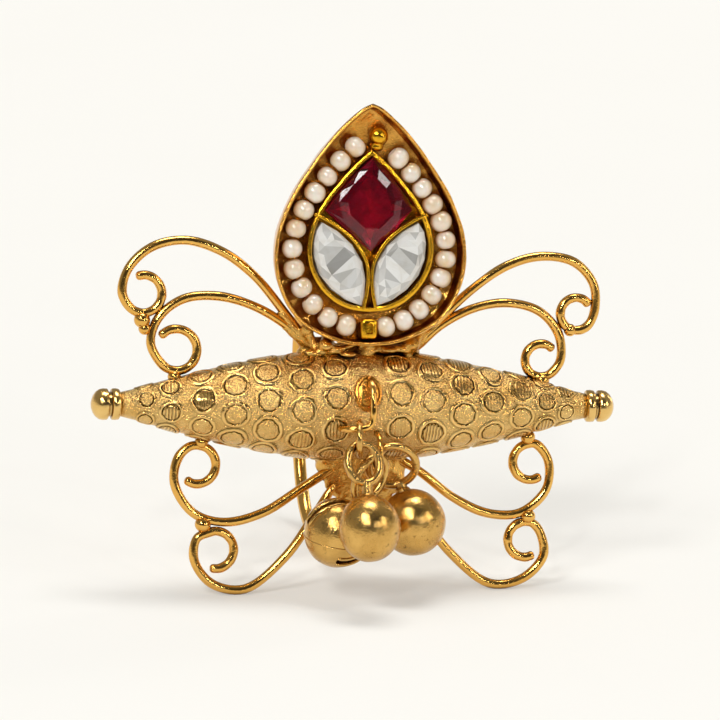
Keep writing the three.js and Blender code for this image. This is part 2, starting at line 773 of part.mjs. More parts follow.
function jumpLink() {
  const centre = new THREE.Vector3(-0.75, -5.85, -2.2);
  const back = new THREE.Vector3(0.208, 0.978, 0);
  const up = new THREE.Vector3(0, 0, 1);
  return ring(centre, back, up, 1.5, 1.32, LINK_WIRE_RADIUS, LINK_WIRE_SIDES, 12);
}

function metalwork() {
  const roll = (body) => body.rotate([0, -TUBE_ROLL, 0]);
  const round = roll(join([tube(), ...bosses()]));
  const wings = Object.values(SCROLLS).map(scroll);
  const lumps = GRANULES.map((row) => ball(row.radius, row, 8, 5));
  const hangers = [lug(), bail(), staple(), medallion()];
  const frame = [round, inSetting(setting()), shank(), ...wings, ...STRUTS.map(strut)];
  return join([...frame, ...hangers, ...lumps]);
}

// The lowest point of bodies once they lean back by an angle
function lowest(bodies, angle) {
  let low = Infinity;
  for (const body of bodies) {
    const corners = body.getMesh().vertProperties;
    for (let i = 0; i < corners.length; i += 3) {
      low = Math.min(low, corners[i + 2] * Math.cos(angle) - corners[i + 1] * Math.sin(angle));
    }
  }
  return low;
}

// How far the ring leans back, in radians, when its two lowest scrolls and its shank stand on one
// plane. The lean is halved in on: too upright a ring has its shank clear of the plane.
function lean() {
  const feet = Object.values(SCROLLS).filter((row) => row.foot).map(scroll);
  const behind = [shank()];
  let low = 0;
  let high = 0.6;
  for (let i = 0; i < 30; i += 1) {
    const angle = (low + high) / 2;
    if (lowest(behind, angle) > lowest(feet, angle)) {
      low = angle;
    } else {
      high = angle;
    }
  }
  return (low + high) / 2;
}

const leaning = new THREE.Group();
leaning.add(mesh("metalwork", metalwork(), GOLD));
for (const stone of STONES) {
  leaning.add(mesh(stone.name, inSetting(cutStone(stone)), stone.name === "ruby" ? RUBY : CLEAR));
}
for (const run of PEARL_RUNS) {
  leaning.add(...pearls(run));
}
leaning.add(mesh("jump_link", jumpLink(), GOLD));
for (const row of BELLS) {
  leaning.add(bell(row));
}
leaning.rotation.x = -lean();
leaning.updateMatrixWorld(true);
const extent = new THREE.Box3().setFromObject(leaning, true);
const middle = extent.getCenter(new THREE.Vector3());
leaning.position.set(-middle.x, -middle.y, -extent.min.z);

const statementRing = new THREE.Group();
statementRing.add(leaning);

export default statementRing;
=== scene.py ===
"""The looks of a gold statement ring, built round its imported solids.

Every piece is modelled in the ring's own frame, facing the viewer with Z up to the setting's point,
and is then leaned back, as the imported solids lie. Sizes are in millimetres until they enter a mesh.
"""

import logging
import math
import random
from dataclasses import dataclass, field
from enum import Enum
from typing import Callable, Optional, Sequence, Union

import bmesh
import bpy
from mathutils import Matrix, Vector

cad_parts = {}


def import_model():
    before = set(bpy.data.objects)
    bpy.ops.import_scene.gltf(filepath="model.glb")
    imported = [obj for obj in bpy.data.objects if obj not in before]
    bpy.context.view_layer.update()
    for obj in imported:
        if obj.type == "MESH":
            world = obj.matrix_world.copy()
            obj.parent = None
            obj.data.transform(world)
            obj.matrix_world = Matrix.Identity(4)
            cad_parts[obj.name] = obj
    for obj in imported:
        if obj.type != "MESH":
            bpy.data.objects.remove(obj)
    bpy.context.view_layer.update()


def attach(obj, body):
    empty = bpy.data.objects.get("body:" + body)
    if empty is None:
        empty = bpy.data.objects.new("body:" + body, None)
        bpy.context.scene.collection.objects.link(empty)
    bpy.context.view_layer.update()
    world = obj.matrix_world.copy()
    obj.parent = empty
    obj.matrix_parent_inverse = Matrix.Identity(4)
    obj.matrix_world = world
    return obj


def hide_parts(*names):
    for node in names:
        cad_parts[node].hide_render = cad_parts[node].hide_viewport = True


MM = 0.001
BODY = "root"
GOLD_SLOT = "gold"
METALWORK = "metalwork"
SEED = 11

log = logging.getLogger("statement_ring")


# ---------------------------------------------------------------- frame and camera


@dataclass(frozen=True)
class Lie:
    """How the ring lies: leaned back until its shank and two lowest scrolls touch the floor."""

    lean_deg: float = 9.761034
    back: float = -5.280450
    rise: float = 14.817415

    def turn(self) -> Matrix:
        """The lean alone, as a 4 x 4 matrix."""
        return Matrix.Rotation(-math.radians(self.lean_deg), 4, "X")

    def matrix(self) -> Matrix:
        """From the ring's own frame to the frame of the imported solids."""
        return Matrix.Translation((0, self.back * MM, self.rise * MM)) @ self.turn()


@dataclass(frozen=True)
class PhotoCamera:
    """A long lens a little to the left of the ring's face and above it, level with the ring."""

    lie: Lie
    left_deg: float = 12.0
    above_deg: float = 4.5
    right: float = 0.52
    up: float = 3.6
    frame_width: float = 57.6
    distance: float = 760.0
    sensor: float = 36.0

    def build(self) -> bpy.types.Object:
        """Adds the camera and makes it the scene's own.

        Returns:
            The camera object.
        """
        left, above = math.radians(self.left_deg), math.radians(self.above_deg)
        across = Vector((math.cos(left), -math.sin(left), 0))
        upward = Vector(
            (math.sin(left) * math.sin(above), math.cos(left) * math.sin(above), math.cos(above))
        )
        towards = across.cross(upward)
        aim = across * (self.right * MM) + upward * (self.up * MM)
        bpy.ops.object.camera_add()
        camera = bpy.context.object
        camera.name = "photo_camera"
        pose = Matrix((across, upward, towards)).transposed().to_4x4()
        pose.translation = aim + towards * (self.distance * MM)
        camera.matrix_world = self.lie.matrix() @ pose
        camera.data.sensor_width = self.sensor
        camera.data.lens = self.sensor * self.distance / self.frame_width
        camera.data.clip_start, camera.data.clip_end = 0.01, 20.0
        camera.data.dof.use_dof = False
        bpy.context.scene.camera = camera
        return camera


# ---------------------------------------------------------------- finishes


def linear(code: str) -> tuple[float, float, float, float]:
    """Turns an sRGB hex colour such as #D9A441 to linear light, with alpha 1."""
    parts = [int(code[i : i + 2], 16) / 255 for i in (1, 3, 5)]
    light = [c / 12.92 if c <= 0.04045 else ((c + 0.055) / 1.055) ** 2.4 for c in parts]
    return (*light, 1.0)


Socket = Union[str, int]


def add_node(
    tree: bpy.types.NodeTree,
    kind: str,
    settings: Optional[dict[str, object]] = None,
    values: Optional[dict[Socket, object]] = None,
    links: Optional[dict[Socket, bpy.types.NodeSocket]] = None,
) -> bpy.types.Node:
    """Adds one node to a tree.

    Args:
        tree: The tree that takes it.
        kind: The node's type name.
        settings: Its properties.
        values: Values of its sockets, by name or place.
        links: What feeds its sockets, by name or place.

    Returns:
        The new node.
    """
    node = tree.nodes.new(kind)
    for key, value in (settings or {}).items():
        setattr(node, key, value)
    for key, value in (values or {}).items():
        node.inputs[key].default_value = value
    for key, source in (links or {}).items():
        tree.links.new(source, node.inputs[key])
    return node


def blank_material(name: str) -> tuple[bpy.types.Material, bpy.types.NodeTree]:
    """A material with an empty tree.

    Args:
        name: The material's name.

    Returns:
        The material and its tree.
    """
    material = bpy.data.materials.new(name)
    material.use_nodes = True
    material.node_tree.nodes.clear()
    return material, material.node_tree


# Places of the sockets of a colour mix
MIX_SHARE, MIX_A, MIX_B, MIX_OUT = 0, 6, 7, 2
RGBA = {"data_type": "RGBA"}


@dataclass(frozen=True)
class GoldFinish:
    """Yellow gold plate over cast or drawn metal: clean on what is touched, with painted shade browning the
    crevices.
    """

    name: str
    face: str = "#DDA543"
    tint: str = "#C98F33"
    deep: str = "#4A2606"
    rough_low: float = 0.16
    rough_high: float = 0.34
    patch_mm: float = 2.4
    grain_mm: float = 0.5
    grain_height_mm: float = 0.012
    crevice_shade_mm: float = 0.7
    crevice_shade: float = 0.85
    stains: float = 0.0
    relief: bool = False

    def build(self) -> bpy.types.Material:
        """Makes the material.

        Returns:
            The material.
        """
        material, tree = blank_material(self.name)
        place = add_node(tree, "ShaderNodeTexCoord").outputs["Object"]
        patches = add_node(
            tree,
            "ShaderNodeTexNoise",
            values={"Scale": 1 / (self.patch_mm * MM), "Detail": 5.0, "Roughness": 0.6},
            links={"Vector": place},
        )
        colour = add_node(
            tree,
            "ShaderNodeMix",
            RGBA,
            {MIX_A: linear(self.face), MIX_B: linear(self.tint)},
            {MIX_SHARE: patches.outputs["Fac"]},
        )
        # Painted shade: the crevices are browned by how enclosed each spot is
        shade = add_node(
            tree,
            "ShaderNodeAmbientOcclusion",
            {"samples": 8},
            {"Distance": self.crevice_shade_mm * MM},
        )
        crevice_shade = add_node(
            tree,
            "ShaderNodeMapRange",
            values={"From Min": 0.25, "From Max": 0.8, "To Min": self.crevice_shade, "To Max": 0.0},
            links={"Value": shade.outputs["AO"]},
        )
        crevice_shaded = add_node(
            tree,
            "ShaderNodeMix",
            RGBA,
            {MIX_B: linear(self.deep)},
            {MIX_SHARE: crevice_shade.outputs["Result"], MIX_A: colour.outputs[MIX_OUT]},
        )
        grain = add_node(
            tree,
            "ShaderNodeTexNoise",
            values={"Scale": 1 / (self.grain_mm * MM), "Detail": 6.0, "Roughness": 0.62},
            links={"Vector": place},
        )
        height = grain.outputs["Fac"]
        top = crevice_shaded.outputs[MIX_OUT]
        if self.stains:
            top = self.with_stains(tree, place, top)
        if self.relief:
            height, top = self.with_relief(tree, place, height, top)
        rough = add_node(
            tree,
            "ShaderNodeMapRange",
            values={"From Min": 0.3, "From Max": 0.7, "To Min": self.rough_low, "To Max": self.rough_high},
            links={"Value": patches.outputs["Fac"]},
        )
        bump = add_node(
            tree,
            "ShaderNodeBump",
            values={"Strength": 1.0, "Distance": self.grain_height_mm * MM},
            links={"Height": height},
        )
        shader = add_node(
            tree,
            "ShaderNodeBsdfPrincipled",
            values={"Metallic": 1.0},
            links={
                "Base Color": top,
                "Roughness": rough.outputs["Result"],
                "Normal": bump.outputs["Normal"],
            },
        )
        add_node(tree, "ShaderNodeOutputMaterial", links={"Surface": shader.outputs["BSDF"]})
        return material

    def with_stains(
        self, tree: bpy.types.NodeTree, place: bpy.types.NodeSocket, colour: bpy.types.NodeSocket
    ) -> bpy.types.NodeSocket:
        """Adds the sparse brown specks of worn plate.

        Args:
            tree: The material's tree.
            place: Object coordinates.
            colour: The colour so far.

        Returns:
            The new colour.
        """
        specks = add_node(
            tree,
            "ShaderNodeTexNoise",
            values={"Scale": 1 / (0.9 * MM), "Detail": 6.0, "Roughness": 0.75, "Distortion": 0.8},
            links={"Vector": place},
        )
        share = add_node(
            tree,
            "ShaderNodeMapRange",
            values={"From Min": 0.58, "From Max": 0.68, "To Min": 0.0, "To Max": self.stains},
            links={"Value": specks.outputs["Fac"]},
        )
        stained = add_node(
            tree,
            "ShaderNodeMix",
            RGBA,
            {MIX_B: linear(self.deep)},
            {MIX_SHARE: share.outputs["Result"], MIX_A: colour},
        )
        return stained.outputs[MIX_OUT]

    def with_relief(
        self,
        tree: bpy.types.NodeTree,
        place: bpy.types.NodeSocket,
        height: bpy.types.NodeSocket,
        colour: bpy.types.NodeSocket,
    ) -> tuple[bpy.types.NodeSocket, bpy.types.NodeSocket]:
        """Adds the chased lines inside each disc, with painted shade in their troughs and in its groove.

        Args:
            tree: The material's tree.
            place: Object coordinates.
            height: The ground's height.
            colour: The colour so far.

        Returns:
            The new height and the new colour.
        """
        disc = add_node(tree, "ShaderNodeAttribute", {"attribute_name": "disc"})
        groove = add_node(tree, "ShaderNodeAttribute", {"attribute_name": "groove"})
        ground = add_node(tree, "ShaderNodeAttribute", {"attribute_name": "ground"})
        # Chased lines stand about 0.27 mm apart and run round the tube; bands are 0.314 / scale wide
        lines = add_node(
            tree,
            "ShaderNodeTexWave",
            values={"Scale": 0.314 / (0.27 * MM), "Distortion": 2.2, "Detail": 3.0, "Detail Scale": 0.6},
            links={"Vector": place},
        )
        worked = add_node(
            tree,
            "ShaderNodeMath",
            {"operation": "MULTIPLY"},
            links={0: height, 1: ground.outputs["Fac"]},
        )
        sharper = add_node(
            tree,
            "ShaderNodeMapRange",
            values={"From Min": 0.15, "From Max": 0.75, "To Min": 0.1, "To Max": 0.75},
            links={"Value": lines.outputs["Fac"]},
        )
        mixed = add_node(
            tree,
            "ShaderNodeMix",
            {"data_type": "FLOAT"},
            links={0: disc.outputs["Fac"], 2: worked.outputs["Value"], 3: sharper.outputs["Result"]},
        )
        lined = add_node(
            tree,
            "ShaderNodeMapRange",
            values={"From Min": 0.08, "From Max": 0.3, "To Min": 0.5, "To Max": 0.0},
            links={"Value": lines.outputs["Fac"]},
        )
        # Painted shade in the troughs of the chased lines and in each disc's groove and crease
        inside = add_node(
            tree,
            "ShaderNodeMath",
            {"operation": "MULTIPLY"},
            links={0: lined.outputs["Result"], 1: disc.outputs["Fac"]},
        )
        both = add_node(
            tree,
            "ShaderNodeMath",
            {"operation": "MAXIMUM"},
            links={0: inside.outputs["Value"], 1: groove.outputs["Fac"]},
        )
        darker = add_node(
            tree,
            "ShaderNodeMix",
            RGBA,
            {MIX_B: linear(self.deep)},
            {MIX_SHARE: both.outputs["Value"], MIX_A: colour},
        )
        return mixed.outputs[0], darker.outputs[MIX_OUT]


@dataclass(frozen=True)
class PearlFinish:
    """Nacre: a cream body with a soft gloss, warmer in patches."""

    name: str = "pearl_nacre"
    face: str = "#EDE3D6"
    tint: str = "#DFC294"

    def build(self) -> bpy.types.Material:
        """Makes the material.

        Returns:
            The material.
        """
        material, tree = blank_material(self.name)
        place = add_node(tree, "ShaderNodeTexCoord").outputs["Object"]
        patches = add_node(
            tree,
            "ShaderNodeTexNoise",
            values={"Scale": 1 / (1.3 * MM), "Detail": 3.0},
            links={"Vector": place},
        )
        share = add_node(
            tree,
            "ShaderNodeMapRange",
            values={"From Min": 0.35, "From Max": 0.7},
            links={"Value": patches.outputs["Fac"]},
        )
        colour = add_node(
            tree,
            "ShaderNodeMix",
            RGBA,
            {MIX_A: linear(self.face), MIX_B: linear(self.tint)},
            {MIX_SHARE: share.outputs["Result"]},
        )
        # Painted warm reflection of the gold and painted shade, in the gaps between the pearls and the metal
        shade = add_node(
            tree, "ShaderNodeAmbientOcclusion", {"samples": 8}, {"Distance": 0.9 * MM}
        )
        painted_gap_warmth = add_node(
            tree,
            "ShaderNodeMapRange",
            values={"From Min": 0.3, "From Max": 0.85, "To Min": 0.9, "To Max": 0.0},
            links={"Value": shade.outputs["AO"]},
        )
        colour = add_node(
            tree,
            "ShaderNodeMix",
            RGBA,
            {MIX_B: linear("#C98A45")},
            {MIX_SHARE: painted_gap_warmth.outputs["Result"], MIX_A: colour.outputs[MIX_OUT]},
        )
        dimples = add_node(
            tree,
            "ShaderNodeTexNoise",
            values={"Scale": 1 / (0.35 * MM), "Detail": 2.0},
            links={"Vector": place},
        )
        bump = add_node(
            tree,
            "ShaderNodeBump",
            values={"Strength": 0.6, "Distance": 0.006 * MM},
            links={"Height": dimples.outputs["Fac"]},
        )
        shader = add_node(
            tree,
            "ShaderNodeBsdfPrincipled",
            values={
                "Roughness": 0.24,
                "IOR": 1.68,
                "Subsurface Weight": 0.15,
                "Subsurface Scale": 0.4 * MM,
                "Coat Weight": 1.0,
                "Coat Roughness": 0.12,
            },
            links={"Base Color": colour.outputs[MIX_OUT], "Normal": bump.outputs["Normal"]},
        )
        add_node(tree, "ShaderNodeOutputMaterial", links={"Surface": shader.outputs["BSDF"]})
        return material


@dataclass(frozen=True)
class StoneFinish:
    """Cut glass or crystal with small flaws inside, each facet painted lighter or darker as painted reflections and
    shade.
    """

    name: str
    face: str
    flaw: str
    dark: str
    ior: float
    transmission: float
    flaw_mm: float = 1.2

    def build(self) -> bpy.types.Material:
        """Makes the material.

        Returns:
            The material.
        """
        material, tree = blank_material(self.name)
        place = add_node(tree, "ShaderNodeTexCoord").outputs["Object"]
        flaws = add_node(
            tree,
            "ShaderNodeTexNoise",
            values={"Scale": 1 / (self.flaw_mm * MM), "Detail": 5.0, "Distortion": 1.2},
            links={"Vector": place},
        )
        share = add_node(
            tree,
            "ShaderNodeMapRange",
            values={"From Min": 0.45, "From Max": 0.75},
            links={"Value": flaws.outputs["Fac"]},
        )
        clouded = add_node(
            tree,
            "ShaderNodeMix",
            RGBA,
            {MIX_A: linear(self.face), MIX_B: linear(self.flaw)},
            {MIX_SHARE: share.outputs["Result"]},
        )
        # Painted reflections and shade: each facet's colour is darkened by its flat attribute
        flat = add_node(tree, "ShaderNodeAttribute", {"attribute_name": "flat"})
        colour = add_node(
            tree,
            "ShaderNodeMix",
            RGBA,
            {MIX_A: linear(self.dark)},
            {MIX_B: clouded.outputs[MIX_OUT], MIX_SHARE: flat.outputs["Fac"]},
        )
        bump = add_node(
            tree,
            "ShaderNodeBump",
            values={"Strength": 0.5, "Distance": 0.003 * MM},
            links={"Height": flaws.outputs["Fac"]},
        )
        shader = add_node(
            tree,
            "ShaderNodeBsdfPrincipled",
            values={
                "Roughness": 0.03,
                "IOR": self.ior,
                "Transmission Weight": self.transmission,
            },
            links={"Base Color": colour.outputs[MIX_OUT], "Normal": bump.outputs["Normal"]},
        )
        add_node(tree, "ShaderNodeOutputMaterial", links={"Surface": shader.outputs["BSDF"]})
        return material


@dataclass(frozen=True)
class FoilFinish:
    """Crumpled foil behind a stone, each of its creased flats painted lighter or darker as painted reflections."""

    name: str
    face: str
    dark: str

    def build(self) -> bpy.types.Material:
        """Makes the material.

        Returns:
            The material.
        """
        material, tree = blank_material(self.name)
        flat = add_node(tree, "ShaderNodeAttribute", {"attribute_name": "flat"})
        place = add_node(tree, "ShaderNodeTexCoord").outputs["Object"]
        painted_glints = add_node(
            tree,
            "ShaderNodeTexNoise",
            values={"Scale": 1 / (0.8 * MM), "Detail": 4.0},
            links={"Vector": place},
        )
        # Painted reflections: the flats' brightness with some noise mixed in
        share = add_node(
            tree,
            "ShaderNodeMix",
            {"data_type": "FLOAT"},
            {0: 0.25},
            {2: flat.outputs["Fac"], 3: painted_glints.outputs["Fac"]},
        )
        colour = add_node(
            tree,
            "ShaderNodeMix",
            RGBA,
            {MIX_A: linear(self.dark), MIX_B: linear(self.face)},
            {MIX_SHARE: share.outputs[0]},
        )
        shader = add_node(
            tree,
            "ShaderNodeBsdfPrincipled",
            values={"Metallic": 0.2, "Roughness": 0.5},
            links={"Base Color": colour.outputs[MIX_OUT]},
        )
        add_node(tree, "ShaderNodeOutputMaterial", links={"Surface": shader.outputs["BSDF"]})
        return material


WIRE_GOLD = GoldFinish(
    "drawn_gold_wire",
    face="#F3C168",
    tint="#D69C42",
    rough_low=0.08,
    rough_high=0.2,
    grain_mm=1.3,
    grain_height_mm=0.05,
    crevice_shade_mm=0.5,
    crevice_shade=0.75,
)
TUBE_GOLD = GoldFinish(
    "chased_gold_sheet",
    face="#F8D892",
    tint="#CF9A40",
    deep="#2E1602",
    rough_low=0.1,
    rough_high=0.22,
    grain_mm=0.46,
    grain_height_mm=0.3,
    crevice_shade_mm=0.6,
    crevice_shade=0.95,
    relief=True,
)
CUP_GOLD = GoldFinish(
    "rolled_gold_sheet",
    face="#EDB65C",
    tint="#CF8F32",
    deep="#6A3408",
    rough_low=0.12,
    rough_high=0.28,
    grain_mm=0.7,
    grain_height_mm=0.1,
    crevice_shade_mm=0.8,
    crevice_shade=0.75,
)
COLLET_GOLD = GoldFinish(
    "pure_gold_foil",
    face="#F0B733",
    tint="#DB9D1C",
    deep="#6B3800",
    rough_low=0.12,
    rough_high=0.28,
    grain_mm=0.7,
    grain_height_mm=0.05,
    crevice_shade=0.6,
)
SOLDER_GOLD = GoldFinish(
    "plated_solder",
    face="#F3C66E",
    tint="#D09840",
    rough_low=0.12,
    rough_high=0.28,
    grain_mm=0.5,
    grain_height_mm=0.12,
    crevice_shade_mm=0.9,
    crevice_shade=0.9,
)
BELL_GOLD = GoldFinish(
    "worn_bell_gold",
    face="#EABF70",
    tint="#B5863E",
    rough_low=0.13,
    rough_high=0.32,
    patch_mm=1.3,
    grain_mm=0.3,
    grain_height_mm=0.03,
    crevice_shade_mm=0.9,
    stains=0.75,
)
PEARL = PearlFinish()
RUBY = StoneFinish("ruby", "#D8083F", "#A5062E", "#6A0A22", 1.5, 0.84)
# Painted light: the crystal is mostly a white diffuse body that stands in for the light its silver foil sends back
# through it
CLEAR = StoneFinish("rock_crystal", "#FFFFFC", "#F3F0E8", "#5A5751", 1.52, 0.22)
RED_FOIL = FoilFinish("red_foil", "#FF2E62", "#4A0312")
SILVER_FOIL = FoilFinish("silver_foil", "#FFFEF8", "#5F5A50")


Finish = Union[GoldFinish, PearlFinish, StoneFinish, FoilFinish]


class FinishRack:
    """Makes each finish once and hands it out."""

    def __init__(self) -> None:
        """Starts with nothing made."""
        self.made: dict[str, bpy.types.Material] = {}

    def get(self, finish: Finish) -> bpy.types.Material:
        """The material of a finish."""
        if finish.name not in self.made:
            self.made[finish.name] = finish.build()
        return self.made[finish.name]


# ---------------------------------------------------------------- bench work


def put_down() -> None:
    """Leaves edit mode and deselects everything."""
    if bpy.context.object is not None and bpy.context.object.mode != "OBJECT":
        bpy.ops.object.mode_set(mode="OBJECT")
    bpy.ops.object.select_all(action="DESELECT")


def take(*pieces: bpy.types.Object) -> None:
    """Selects only these objects, the first of them active."""
    put_down()
    for piece in pieces:
        piece.select_set(True)
    bpy.context.view_layer.objects.active = pieces[0]


def edit(piece: bpy.types.Object) -> None:
    """Opens an object in edit mode with nothing selected."""
    take(piece)
    bpy.ops.object.mode_set(mode="EDIT")
    bpy.ops.mesh.select_all(action="DESELECT")


def pick_faces(piece: bpy.types.Object, test: Callable[[Vector, Vector], bool]) -> int:
    """Selects the faces whose middle and normal pass a test, in edit mode.

    Args:
        piece: The object in edit mode.
        test: Takes a face's middle and normal.

    Returns:
        How many were selected.
    """
    bpy.ops.mesh.select_mode(type="FACE")
    bpy.ops.mesh.select_all(action="DESELECT")
    mesh = bmesh.from_edit_mesh(piece.data)
    found = [f for f in mesh.faces if test(f.calc_center_median(), f.normal)]
    for face in found:
        face.select_set(True)
    bmesh.update_edit_mesh(piece.data)
    return len(found)


def reshape_picked(
    piece: bpy.types.Object, before: Sequence[Vector], after: Sequence[Vector]
) -> None:
    """Moves each picked vertex to the place that goes with the nearest old one.

    Args:
        piece: The object in edit mode.
        before: Where the picked vertices stand across and up.
        after: Where they go.
    """
    mesh = bmesh.from_edit_mesh(piece.data)
    for vertex in mesh.verts:
        if vertex.select:
            here = Vector((vertex.co.x, 0, vertex.co.z))
            gaps = [(here - Vector((p.x, 0, p.z))).length_squared for p in before]
            vertex.co = after[gaps.index(min(gaps))]
    bmesh.update_edit_mesh(piece.data)


def add_modifier(piece: bpy.types.Object, kind: str, **settings: object) -> None:
    """Adds a modifier and applies it at once."""
    take(piece)
    modifier = piece.modifiers.new(kind.lower(), kind)
    for key, value in settings.items():
        setattr(modifier, key, value)
    bpy.ops.object.modifier_apply(modifier=modifier.name)


def dent(piece: bpy.types.Object, size: float, depth: float) -> None:
    """Makes a surface uneven, as handwork leaves it.

    Args:
        piece: The object.
        size: How far apart the dents are, in millimetres.
        depth: How far they reach, in millimetres.
    """
    clouds = bpy.data.textures.new("dents", "CLOUDS")
    clouds.noise_scale = size * MM
    clouds.noise_depth = 1
    add_modifier(
        piece, "DISPLACE", texture=clouds, strength=depth * MM, mid_level=0.5, texture_coords="LOCAL"
    )
    bpy.data.textures.remove(clouds)


def tidy_mesh(piece: bpy.types.Object, doubles_mm: float = 0.0004) -> None:
    """Merges doubles and turns the faces outwards.

    Args:
        piece: The object.
        doubles_mm: How near two vertices have to be to be merged.
    """
    edit(piece)
    bpy.ops.mesh.select_all(action="SELECT")
    bpy.ops.mesh.remove_doubles(threshold=doubles_mm * MM)
    bpy.ops.mesh.normals_make_consistent(inside=False)
    put_down()


def melt(piece: bpy.types.Object, grain: float, rounds: int = 3) -> None:
    """Fuses overlapping lumps into one skin, as solder runs together.

    Args:
        piece: The joined lumps.
        grain: The new skin's face size, in millimetres.
        rounds: How often it is smoothed.
    """
    add_modifier(piece, "REMESH", mode="VOXEL", voxel_size=grain * MM)
    add_modifier(piece, "SMOOTH", factor=0.5, iterations=rounds)


def joined(name: str, *pieces: bpy.types.Object) -> bpy.types.Object:
    """Joins objects into the first and names it."""
    take(*pieces)
    if len(pieces) > 1:
        bpy.ops.object.join()
    pieces[0].name = name
    return pieces[0]


def cut(piece: bpy.types.Object, tool: bpy.types.Object) -> None:
    """Takes one closed object out of another and removes the tool."""
    add_modifier(piece, "BOOLEAN", operation="DIFFERENCE", object=tool, solver="EXACT")
    bpy.data.objects.remove(tool, do_unlink=True)


def spline_points(points: Sequence[Vector], steps: int) -> list[Vector]:
    """A smooth centripetal line through points.

    Args:
        points: The points it passes through.
        steps: How many points each stretch gets.

    Returns:
        The line's points, first and last included.
    """
    line: list[Vector] = []
    last = len(points) - 1
    for i in range(last):
        here, there = points[i], points[i + 1]
        before = points[i - 1] if i > 0 else here * 2 - there
        after = points[i + 2] if i + 2 <= last else there * 2 - here
        d0, d1, d2 = ((b - a).length ** 0.5 for a, b in ((before, here), (here, there), (there, after)))
        m1 = ((here - before) / d0 - (there - before) / (d0 + d1) + (there - here) / d1) * d1
        m2 = ((there - here) / d1 - (after - here) / (d1 + d2) + (after - there) / d2) * d1
        for k in range(steps):
            t = k / steps
            a, b = 2 * t**3 - 3 * t**2 + 1, t**3 - 2 * t**2 + t
            c, d = 3 * t**2 - 2 * t**3, t**3 - t**2
            line.append(here * a + m1 * b + there * c + m2 * d)
    line.append(points[-1])
    return line


def oval(
    centre: Vector, across: Vector, up: Vector, half_across: float, half_up: float, count: int
) -> list[Vector]:
    """Points round an oval, in millimetres."""
    angles = [i * math.tau / count for i in range(count)]
    return [
        centre + across * (half_across * math.cos(a)) + up * (half_up * math.sin(a)) for a in angles
    ]


def wire(
    name: str,
    points: Sequence[Vector],
    radius: float,
    closed: bool = False,
    sides: int = 14,
    uneven: float = 0.0,
    seed: int = SEED,
    blunt: bool = True,
) -> bpy.types.Object:
    """A round wire along points.

    Args:
        name: The object's name.
        points: Its middle line, in millimetres.
        radius: Its radius, in millimetres.
        closed: Whether its ends meet.
        sides: How many sides it has.
        uneven: How much its thickness wanders, as a share.
        seed: What the wandering starts from.
        blunt: Whether open ends are rounded off.

    Returns:
        The wire as a mesh.
    """
    put_down()
    bpy.ops.curve.primitive_nurbs_path_add()
    piece = bpy.context.object
    piece.name = name
    curve = piece.data
    curve.splines.clear()
    spline = curve.splines.new("POLY")
    spline.points.add(len(points) - 1)
    draw = random.Random(seed)
    phases = [draw.uniform(0, math.tau) for _ in range(3)]
    for i, (knot, point) in enumerate(zip(spline.points, points)):
        knot.co = (*(point * MM), 1)
        waves = sum(math.sin(i * rate + phase) for rate, phase in zip((0.21, 0.47, 0.83), phases))
        knot.radius = 1 + uneven * waves / 3
    if blunt and not closed:
        for k, share in ((0, 0.55), (1, 0.88)):
            spline.points[k].radius *= share
            spline.points[-1 - k].radius *= share
    spline.use_cyclic_u = closed
    curve.dimensions = "3D"
    curve.twist_mode = "MINIMUM"
    curve.bevel_depth = radius * MM
    curve.bevel_resolution = (sides - 4) // 2
    curve.use_fill_caps = not closed
    take(piece)
    bpy.ops.object.convert(target="MESH")
    piece = bpy.context.object
    tidy_mesh(piece)
    return piece


def lump(place: Vector, radius: float, stretch: Sequence[float] = (1, 1, 1)) -> bpy.types.Object:
    """A small uneven ball of metal.

    Args:
        place: Its middle, in millimetres.
        radius: Its radius, in millimetres.
        stretch: How much longer it is along X, Y and Z.

    Returns:
        The ball.
    """
    put_down()
    bpy.ops.mesh.primitive_uv_sphere_add(
        segments=28, ring_count=18, radius=radius * MM, location=place * MM
    )
    piece = bpy.context.object
    bpy.ops.object.mode_set(mode="EDIT")
    bpy.ops.mesh.select_all(action="SELECT")
    bpy.ops.transform.resize(value=tuple(stretch), center_override=tuple(place * MM))
    put_down()
    take(piece)
    bpy.ops.object.transform_apply(location=True, rotation=True, scale=True)
    dent(piece, radius * 1.3, radius * 0.12)
    return piece


def outline_face(name: str, outline: Sequence[Vector]) -> bpy.types.Object:
    """One many-sided face, a circle whose vertices are moved to an outline.

    Args:
        name: The object's name.
        outline: Its corners in order, in millimetres.

    Returns:
        The face as an object.
    """
    put_down()
    bpy.ops.mesh.primitive_circle_add(vertices=len(outline), radius=MM, fill_type="NGON")
    piece = bpy.context.object
    piece.name = name
    for vertex, point in zip(piece.data.vertices, outline):
        vertex.co = point * MM
    return piece


def drawn_out(piece: bpy.types.Object, rings: Sequence[Sequence[Vector]]) -> None:
    """Extrudes an object's only face through further outlines with as many corners.

    Args:
        piece: An object from outline_face.
        rings: The outlines after the first, in millimetres.
    """
    edit(piece)
    bpy.ops.mesh.select_all(action="SELECT")
    before = [v.co.copy() for v in bmesh.from_edit_mesh(piece.data).verts]
    for ring in rings:
        after = [point * MM for point in ring]
        bpy.ops.mesh.extrude_region_move(TRANSFORM_OT_translate={"value": (0, 0, 0)})
        reshape_picked(piece, before, after)
        before = after
    put_down()


